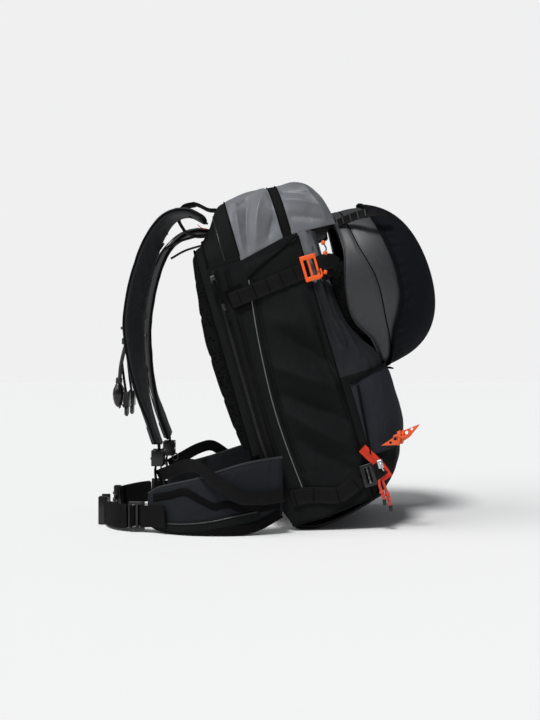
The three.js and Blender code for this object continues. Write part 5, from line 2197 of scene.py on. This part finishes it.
@dataclass
class HelmetCarrier(Assembly):
    """The helmet under its stretch cover, with its liner, chin strap and the carrier's straps."""

    finishes: Finishes

    def bowl(self, name: str, low: Callable[[float], float], proud: float, grid: tuple[int, int], wall: float,
             lift: Callable[[float, float], float] = lambda rise, around: 0.0) -> Piece:
        """A dome with a wall, from its rim up to the crown; the rim's rise in degrees depends on the way round."""

        def skin(s: float, t: float) -> Vector:
            """Round the dome and up it."""
            around = s * 360
            rise = mix(low(folded(around)), 89.999, t)
            return HELMET.place(*HELMET.dome(rise, around, proud + lift(rise, around)))

        piece = laid_grid(name, skin, *grid, (760, 230))
        with editing(piece):
            bpy.ops.mesh.select_all(action="SELECT")
            bpy.ops.mesh.remove_doubles(threshold=0.05 * MM)
            bpy.ops.mesh.normals_make_consistent(inside=False)
        facing_out(piece, HELMET.place(30, 0, 0))
        modified(piece, "SOLIDIFY", thickness=wall * MM, offset=-1.0, use_even_offset=True)
        return shaded(piece, 50)

    def shell(self) -> None:
        """The outer shell, with a groove along its seam."""

        def lift(rise: float, around: float) -> float:
            """The groove and a slight ridge behind it."""
            seam, foot = SHELL_SEAM(folded(around)), SHELL_RIM(folded(around))
            rim = 0.9 * hump(rise, foot + 2.5, 3.0)
            return -1.6 * hump(rise, seam, 1.7) + 0.9 * ease((seam - rise) / 5) * ease((rise - foot) / 6) + rim

        piece = self.bowl("helmet_shell_painted", SHELL_RIM, 0.0, (120, 72), 2.4, lift)
        self.settle(piece, "holder", "helmet_paint", "helmet_shell", ("helmet_shell",))
        line = [HELMET.dome(SHELL_SEAM(folded(k * 5)), k * 5, -0.75) for k in range(73)]
        self.settle(lace("helmet_seam", line, 1.0, 260, 6, HELMET.place), "holder", "binding_cloth", "helmet_shell")
        edge = [HELMET.dome(SHELL_RIM(folded(k * 5)) - 0.4, k * 5, -1.2) for k in range(73)]
        self.settle(lace("helmet_rim_trim", edge, 2.1, 260, 8, HELMET.place), "holder", "black_plastic", "helmet_shell")

    def liner(self) -> None:
        """The foam liner and the soft comfort pads inside it."""
        inside = 3.5
        piece = self.bowl("helmet_liner_foam", lambda around: SHELL_RIM(around) - 1.5, -inside - 0.6, (90, 40), 11.2)
        self.settle(piece, "holder", "helmet_foam", "helmet_foam", ("helmet_liner",))
        for k, around in enumerate((20, 70, 110, 160, 200, 250, 290, 340)):
            def skin(s: float, t: float, middle: float = around) -> Vector:
                """Round and up one comfort pad."""
                rise, way = mix(4, 34, t), middle + mix(-15, 15, s)
                edge = (math.sin(math.pi * s) * math.sin(math.pi * t)) ** 0.4
                return HELMET.place(*HELMET.dome(rise, way, -16.2 - 5.0 * edge))

            pad = cloth_piece(f"comfort_pad_{k}", skin, (16, 16), (52, 60), HELMET.place(60, 0, 0) * 3, 1.4, 0)
            self.settle(pad, "holder", "spacer_mesh", "helmet_foam")

    def cover(self) -> None:
        """The stretch cover: drawn tight over the crown, gathered at its hem."""

        def lift(rise: float, around: float) -> float:
            """Gathers that fade away from the hem, and a soft overall unevenness."""
            hem = COVER_HEM(folded(around))
            fade = 1 - ease((rise - hem) / 15)
            pull = noise.noise(Vector((around / 6.4, 0.3, 2.0)))
            pleat = math.sin(math.radians(around) * 46 + 1.6 * pull)
            rim = ease((rise - hem + 0.5) / 2.2)
            return fade * rim * (1.05 * pleat + 0.6 * pull) + 0.5 * math.sin(math.radians(rise * 3.2))

        piece = self.bowl("helmet_cover", lambda around: COVER_HEM(around) - 1, 3.8, (440, 60), 1.4, lift)
        self.settle(piece, "holder", "holder_knit", "holder_fabric", ("helmet_holder",))
        line = []
        for k in range(145):
            around = k * 2.5
            proud = 4.0 + 0.3 * math.sin(math.radians(around) * 46)
            line.append(HELMET.dome(COVER_HEM(folded(around)) - 0.6, around, proud))
        hem = lace("cover_hem", line, 3.1, 420, 10, HELMET.place)
        self.settle(hem, "holder", "hem_knit", "holder_fabric")

    def straps(self) -> None:
        """The chin strap, its side straps, the top ladder straps and the cover's tail."""
        chin = [(-24, -72, 30), (-32, -66, -10), (-24, -48, -52), (-20, -20, -70), (-20, 20, -70), (-24, 48, -52),
                (-32, 66, -10), (-24, 72, 30)]
        piece = band("chin_webbing", chin, 15, 1.8, 90, lambda t: (1, 0, 0.2), HELMET.place)
        self.settle(piece, "holder", "narrow_webbing", "black_webbing", ("chin_strap",))
        for side in Side:
            ear = [(6, -86, -14), (-14, -84, -22), (-26, -70, -34), (-22, -52, -50)]
            pad = band(f"ear_strap_{side.word}", [side.across(p) for p in ear], 15, 1.8, 40,
                       lambda t: (0, 0.3, 1), HELMET.place)
            self.settle(pad, "holder", "narrow_webbing", "black_webbing")
            ladder = [(110, -72, 487), (122, -76, 492), (140, -86, 498), (156, -94, 500)]
            piece = band(f"ladder_webbing_{side.word}", [side.across(p) for p in ladder], 14, 2.3, 40,
                         lambda t: (-0.2, 0.3, 1))
            self.settle(piece, "holder", "stitched_webbing", "black_webbing", (f"ladder_strap_{side.word}",))
            more = [(156, -94, 500), (170, -95, 499.5), (184, -90, 499), (194, -82, 498)]
            run = band(f"ladder_reach_{side.word}", [side.across(p) for p in more], 12, 1.8, 30,
                       lambda t: (-0.2, 0.5, 1))
            self.settle(run, "holder", "stitched_webbing", "black_webbing")
            for k in range(4):
                x, z = mix(118, 152, k / 3), mix(490.5, 499.5, k / 3)
                y = side.value * (mix(73, 92, k / 3) + 1)
                centre, axis = (x, y + side.value * 1.2, z + 1.0), (-0.2, -0.3 * side.value, 1)
                rung = drum(f"ladder_rung_{k}_{side.word}", 1.7, 13, centre, axis, 12)
                pressed(rung, Vector((-0.2, 0, 1)), 0.4, 0.5, 0.8)
                self.settle(shaded(rounded(rung, 0.4, 1)), "holder", "black_plastic", "black_webbing")
        for side in Side:

            def skin(s: float, t: float, way: float = side.value) -> Vector:
                """Round and up one soft ear pad below the shell."""
                turn = mix(68, 128, s)
                drop = mix(30, -6, t) * math.sin(math.pi * (0.15 + 0.7 * s))
                x, y, z = HELMET.dome(max(SHELL_RIM(turn), -14), turn, -7)
                bulge = 4.0 * math.sin(math.pi * clamp01(t))
                return HELMET.place(x - drop, way * (abs(y) - 0.18 * max(drop, 0) + bulge), z)

            ear_pad = cloth_piece(f"ear_pad_{side.word}", skin, (36, 20), (110, 36), HELMET.place(20, 0, 0), 6.0)
            self.settle(ear_pad, "holder", "spacer_mesh", "helmet_foam")
        tail = [(206, 0, 252), (199, 0, 254), (194, 0, 250), (193, 0, 243)]
        piece = band("cover_tail", tail, 60, 2.2, 30)
        self.settle(piece, "holder", "holder_knit", "holder_fabric", ("holder_tail",))

    def built(self) -> None:
        """Makes the helmet and its carrier."""
        self.shell()
        self.liner()
        self.cover()
        self.straps()


@dataclass
class FrontTrim(Assembly):
    """The ice-axe toggle, the safety zip with its red tape, and the knotted pull cords."""

    finishes: Finishes

    def toggle(self) -> None:
        """A perforated orange plate with a cord knotted round its waist."""
        outline = [(172, 134), (186, 143), (204, 156), (231, 167), (226, 160), (214, 146), (196, 135)]
        bpy.ops.object.select_all(action="DESELECT")
        bpy.ops.mesh.primitive_circle_add(vertices=len(outline), radius=1.0, fill_type="NGON")
        plate = named("axe_toggle_plate")
        for vertex, (x, z) in zip(plate.data.vertices, outline):
            vertex.co = as_drawn(x, -140.2, z)
        with editing(plate):
            bpy.ops.mesh.select_all(action="SELECT")
            bpy.ops.mesh.extrude_region_move(TRANSFORM_OT_translate={"value": (0, 3.4 * MM, 0)})
            bpy.ops.mesh.select_all(action="SELECT")
            bpy.ops.mesh.normals_make_consistent(inside=False)
        holes = ((186, 138.6, 2.2), (193, 144.5, 2.6), (211, 154, 2.8), (219, 159.6, 2.2), (205, 148, 2.4))
        pierced(plate, *(drum("cut", r, 14, (x, -138.5, z), (0, 1, 0), 20) for x, z, r in holes))
        rounded(plate, 0.8, 2, 50)
        self.settle(shaded(plate, 30), "toggle", "orange_plastic", "orange_plastic", ("axe_toggle",))
        turns = []
        for k in range(49):
            a = 2 * math.pi * 3 * k / 48
            x = 200 + 1.6 * math.cos(a / 3) + mix(-4, 4, k / 48)
            turns.append((x, -138.5 + 4.4 * math.sin(a), 146 + 9.5 * math.cos(a) + mix(-2, 2, k / 48)))
        self.settle(lace("toggle_lashing", turns, 1.7, 150, 8), "toggle", "orange_braid", "orange_plastic")
        lead = [(191, -140, 148), (196, -143.5, 150), (203, -144.5, 147), (212, -143.5, 150), (217, -141.5, 151)]
        self.settle(lace("toggle_lead", lead, 1.9, 40, 8), "toggle", "orange_braid", "orange_plastic")

    def zip(self) -> None:
        """The red tape of the safety zip and the silver slider with its bail."""
        line = [(121, -134.6, 100), (128, -134.4, 88), (135, -134.0, 76), (142, -132.8, 62), (148, -130.6, 44)]
        tape = band("safety_zip_tape", line, 15, 1.4, 40, lambda t: (1, 0, 0.45), BAG.place)
        self.settle(tape, "pack", "red_tape", "red_cord")
        body = block("safety_slider", (9, 5, 14), (141, -134.8, 69), BAG.place)
        pressed(body, Vector((0, -1, 0)), 1.8, 1.4)
        rounded(body, 1.0, 2)
        self.settle(shaded(body), "safety_zip", "silver_metal", "aluminium", ("safety_zip_slider",))
        bail = [(141, -137, 72), (141, -140, 68), (142, -139.5, 61), (143, -137, 58)]
        self.settle(lace("safety_slider_bail", bail, 1.2, 24, 8, BAG.place), "safety_zip", "silver_metal", "aluminium")

    def cords(self) -> None:
        """The two pull cords that hang from the slider, each with a knot and a black tip."""
        routes = {
            "pull_cord_front": [(172, -129, 88), (174.6, -130.5, 79), (178, -129.4, 70), (181.6, -128.2, 60),
                                (185, -127, 50), (187.4, -126.6, 41), (189, -126, 32)],
            "pull_cord_rear": [(170, -131, 86), (169, -133.5, 76), (171.5, -133.6, 66), (175, -132.6, 57),
                               (177.4, -131.8, 49), (178.2, -131.4, 42)],
        }
        for name, points in routes.items():
            def knot(t: float) -> float:
                """Thicker where the cord is knotted."""
                return 1 + 0.75 * hump(t, 0.56, 0.07) + 0.6 * hump(t, 0.68, 0.05)

            cord = lace(name, points, 2.3, 120, 10, as_drawn, knot)
            stands = ("zip_pull_cords",) if name.endswith("front") else ()
            self.settle(cord, "zip_cords", "red_braid", "red_cord", stands)
            end, before = Vector(points[-1]), Vector(points[-2])
            aim = (end - before).normalized()
            tip = drum(f"{name}_tip", 2.9, 9, tuple(end + aim * -3.5), tuple(aim), 16)
            pressed(tip, aim, 0.8, 0.6, 0.8)
            self.settle(shaded(rounded(tip, 0.6, 2)), "zip_cords", "black_plastic", "red_cord")
            length = Route(points).length * MM

    def built(self) -> None:
        """Makes the front's small parts."""
        self.toggle()
        self.zip()
        self.cords()


@dataclass
class Internals(Assembly):
    """What the compartment holds: the folded airbag, its blower, power unit, electronics and cable."""

    finishes: Finishes

    def airbag(self) -> None:
        """The airbag, packed in concertina folds."""
        fold = [(16, 456), (12, 500), (30, 514), (60, 519), (95, 517), (135, 506), (158, 486), (164, 466), (156, 457)]
        centre = (88, 484)
        outline = flat_route([*fold, fold[0]])

        def skin(s: float, t: float) -> Vector:
            """Round the bundle and across it."""
            turn = 2 * math.pi * s
            ring = outline.at(s)
            pleat = 0.93 + 0.05 * math.sin(turn * 9) * math.sin(math.pi * t) ** 0.3
            close = 0.02 + 0.98 * (1 - abs(2 * t - 1) ** 10)
            x = centre[0] + (ring.x - centre[0]) * pleat * close
            z = centre[1] + (ring.z - centre[1]) * pleat * close
            return BAG.place(x, mix(-59, 59, t), z)

        piece = sealed(laid_grid("airbag_bundle", skin, 96, 40, (380, 118)), 0.4)
        self.settle(shaded(piece, 60), "pack", "airbag_cloth", "airbag_fabric", ("airbag_folded",))

    def built(self) -> None:
        """Makes the soft parts and dresses the hard ones."""
        self.airbag()
        run = [(-24, -52, 470), (-14, -40, 455), (-12, 0, 445), (-10, 50, 440), (-4, 74, 434), (0, 82, 424)]
        cable = lace("trigger_cable_sleeve", run, 2.3, 80, 10, BAG.place)
        self.settle(cable, "pack", "black_braid", "black_webbing", ("trigger_cable",))
        for node, finish in (("blower_housing", "power_case"), ("impeller", "black_plastic"),
                             ("power_unit", "power_case"), ("control_box", "black_plastic")):
            self.finishes.dress(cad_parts[node], finish)


@dataclass
class Studio(Assembly):
    """The pale floor, the soft lights and the camera."""

    finishes: Finishes
    reach: float = 1.5
    height: float = 0.266
    lens: float = 44.1
    fill: float = 0.13
    air_shown: Point = (0.871, 0.871, 0.875, 1)
    air_light: Point = (0.93, 0.96, 1.0, 1)
    floor_drop: float = 0.0004

    def floor(self) -> None:
        """A wide flat sheet under the pack."""

        def skin(s: float, t: float) -> Vector:
            """Across the floor and back along it."""
            return Vector((mix(-9, 9, s), mix(-7, 9, t), -self.floor_drop))

        piece = laid_grid("studio_floor", skin, 2, 2, (1000, 1000))
        self.finishes.dress(piece, "studio_ground")

    def air(self, scene: bpy.types.Scene) -> None:
        """Surrounds the pack with pale air that lights it less than it shows."""
        world = bpy.data.worlds.new("studio_air")
        world.use_nodes = True
        tree = world.node_tree
        pale = tree.nodes["Background"]
        pale.inputs["Color"].default_value = self.air_shown
        dim = tree.nodes.new("ShaderNodeBackground")
        dim.inputs["Color"].default_value = self.air_light
        dim.inputs["Strength"].default_value = self.fill
        path = tree.nodes.new("ShaderNodeLightPath")
        choice = tree.nodes.new("ShaderNodeMixShader")
        tree.links.new(path.outputs["Is Camera Ray"], choice.inputs[0])
        tree.links.new(dim.outputs[0], choice.inputs[1])
        tree.links.new(pale.outputs[0], choice.inputs[2])
        tree.links.new(choice.outputs[0], tree.nodes["World Output"].inputs["Surface"])
        scene.world = world

    def sun(self, name: str, source: Point, spread: float, power: float) -> None:
        """A broad, distant soft light.

        Args:
            name: its name.
            source: the direction it comes from.
            spread: its width in degrees.
            power: its strength.
        """
        data = bpy.data.lights.new(name, "SUN")
        data.angle, data.energy = math.radians(spread), power
        lamp = bpy.data.objects.new(name, data)
        bpy.context.scene.collection.objects.link(lamp)
        lamp.rotation_euler = Vector(source).to_track_quat("Z", "Y").to_euler()

    def built(self) -> None:
        """Sets the studio up."""
        scene = bpy.context.scene
        scene.view_settings.view_transform = "Standard"
        self.air(scene)
        self.floor()
        self.sun("key_sun", (-0.22, -0.5, 1.0), 14, 2.15)
        self.sun("side_sun", (-1.0, -0.3, 0.9), 50, 1.15)
        data = bpy.data.cameras.new("camera")
        data.lens = self.lens
        camera = bpy.data.objects.new("camera", data)
        scene.collection.objects.link(camera)
        camera.location = (0, -self.reach, self.height)
        camera.rotation_euler = (math.radians(90), 0, 0)
        scene.camera = camera


def main() -> None:
    """Builds every sub-assembly in order."""
    logging.basicConfig(level=logging.INFO, format="%(name)s: %(message)s")
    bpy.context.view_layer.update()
    finishes = Finishes()
    Studio(finishes).built()
    shell = BagShell(finishes)
    shell.built()
    for part in (Hood(finishes), SideStraps(finishes, shell), BackPanel(finishes), Harness(finishes),
                 HipBelt(finishes), HelmetCarrier(finishes), FrontTrim(finishes), Internals(finishes)):
        part.built()
        log.info("%s is built", type(part).__name__)


if __name__ == "__main__":
    main()
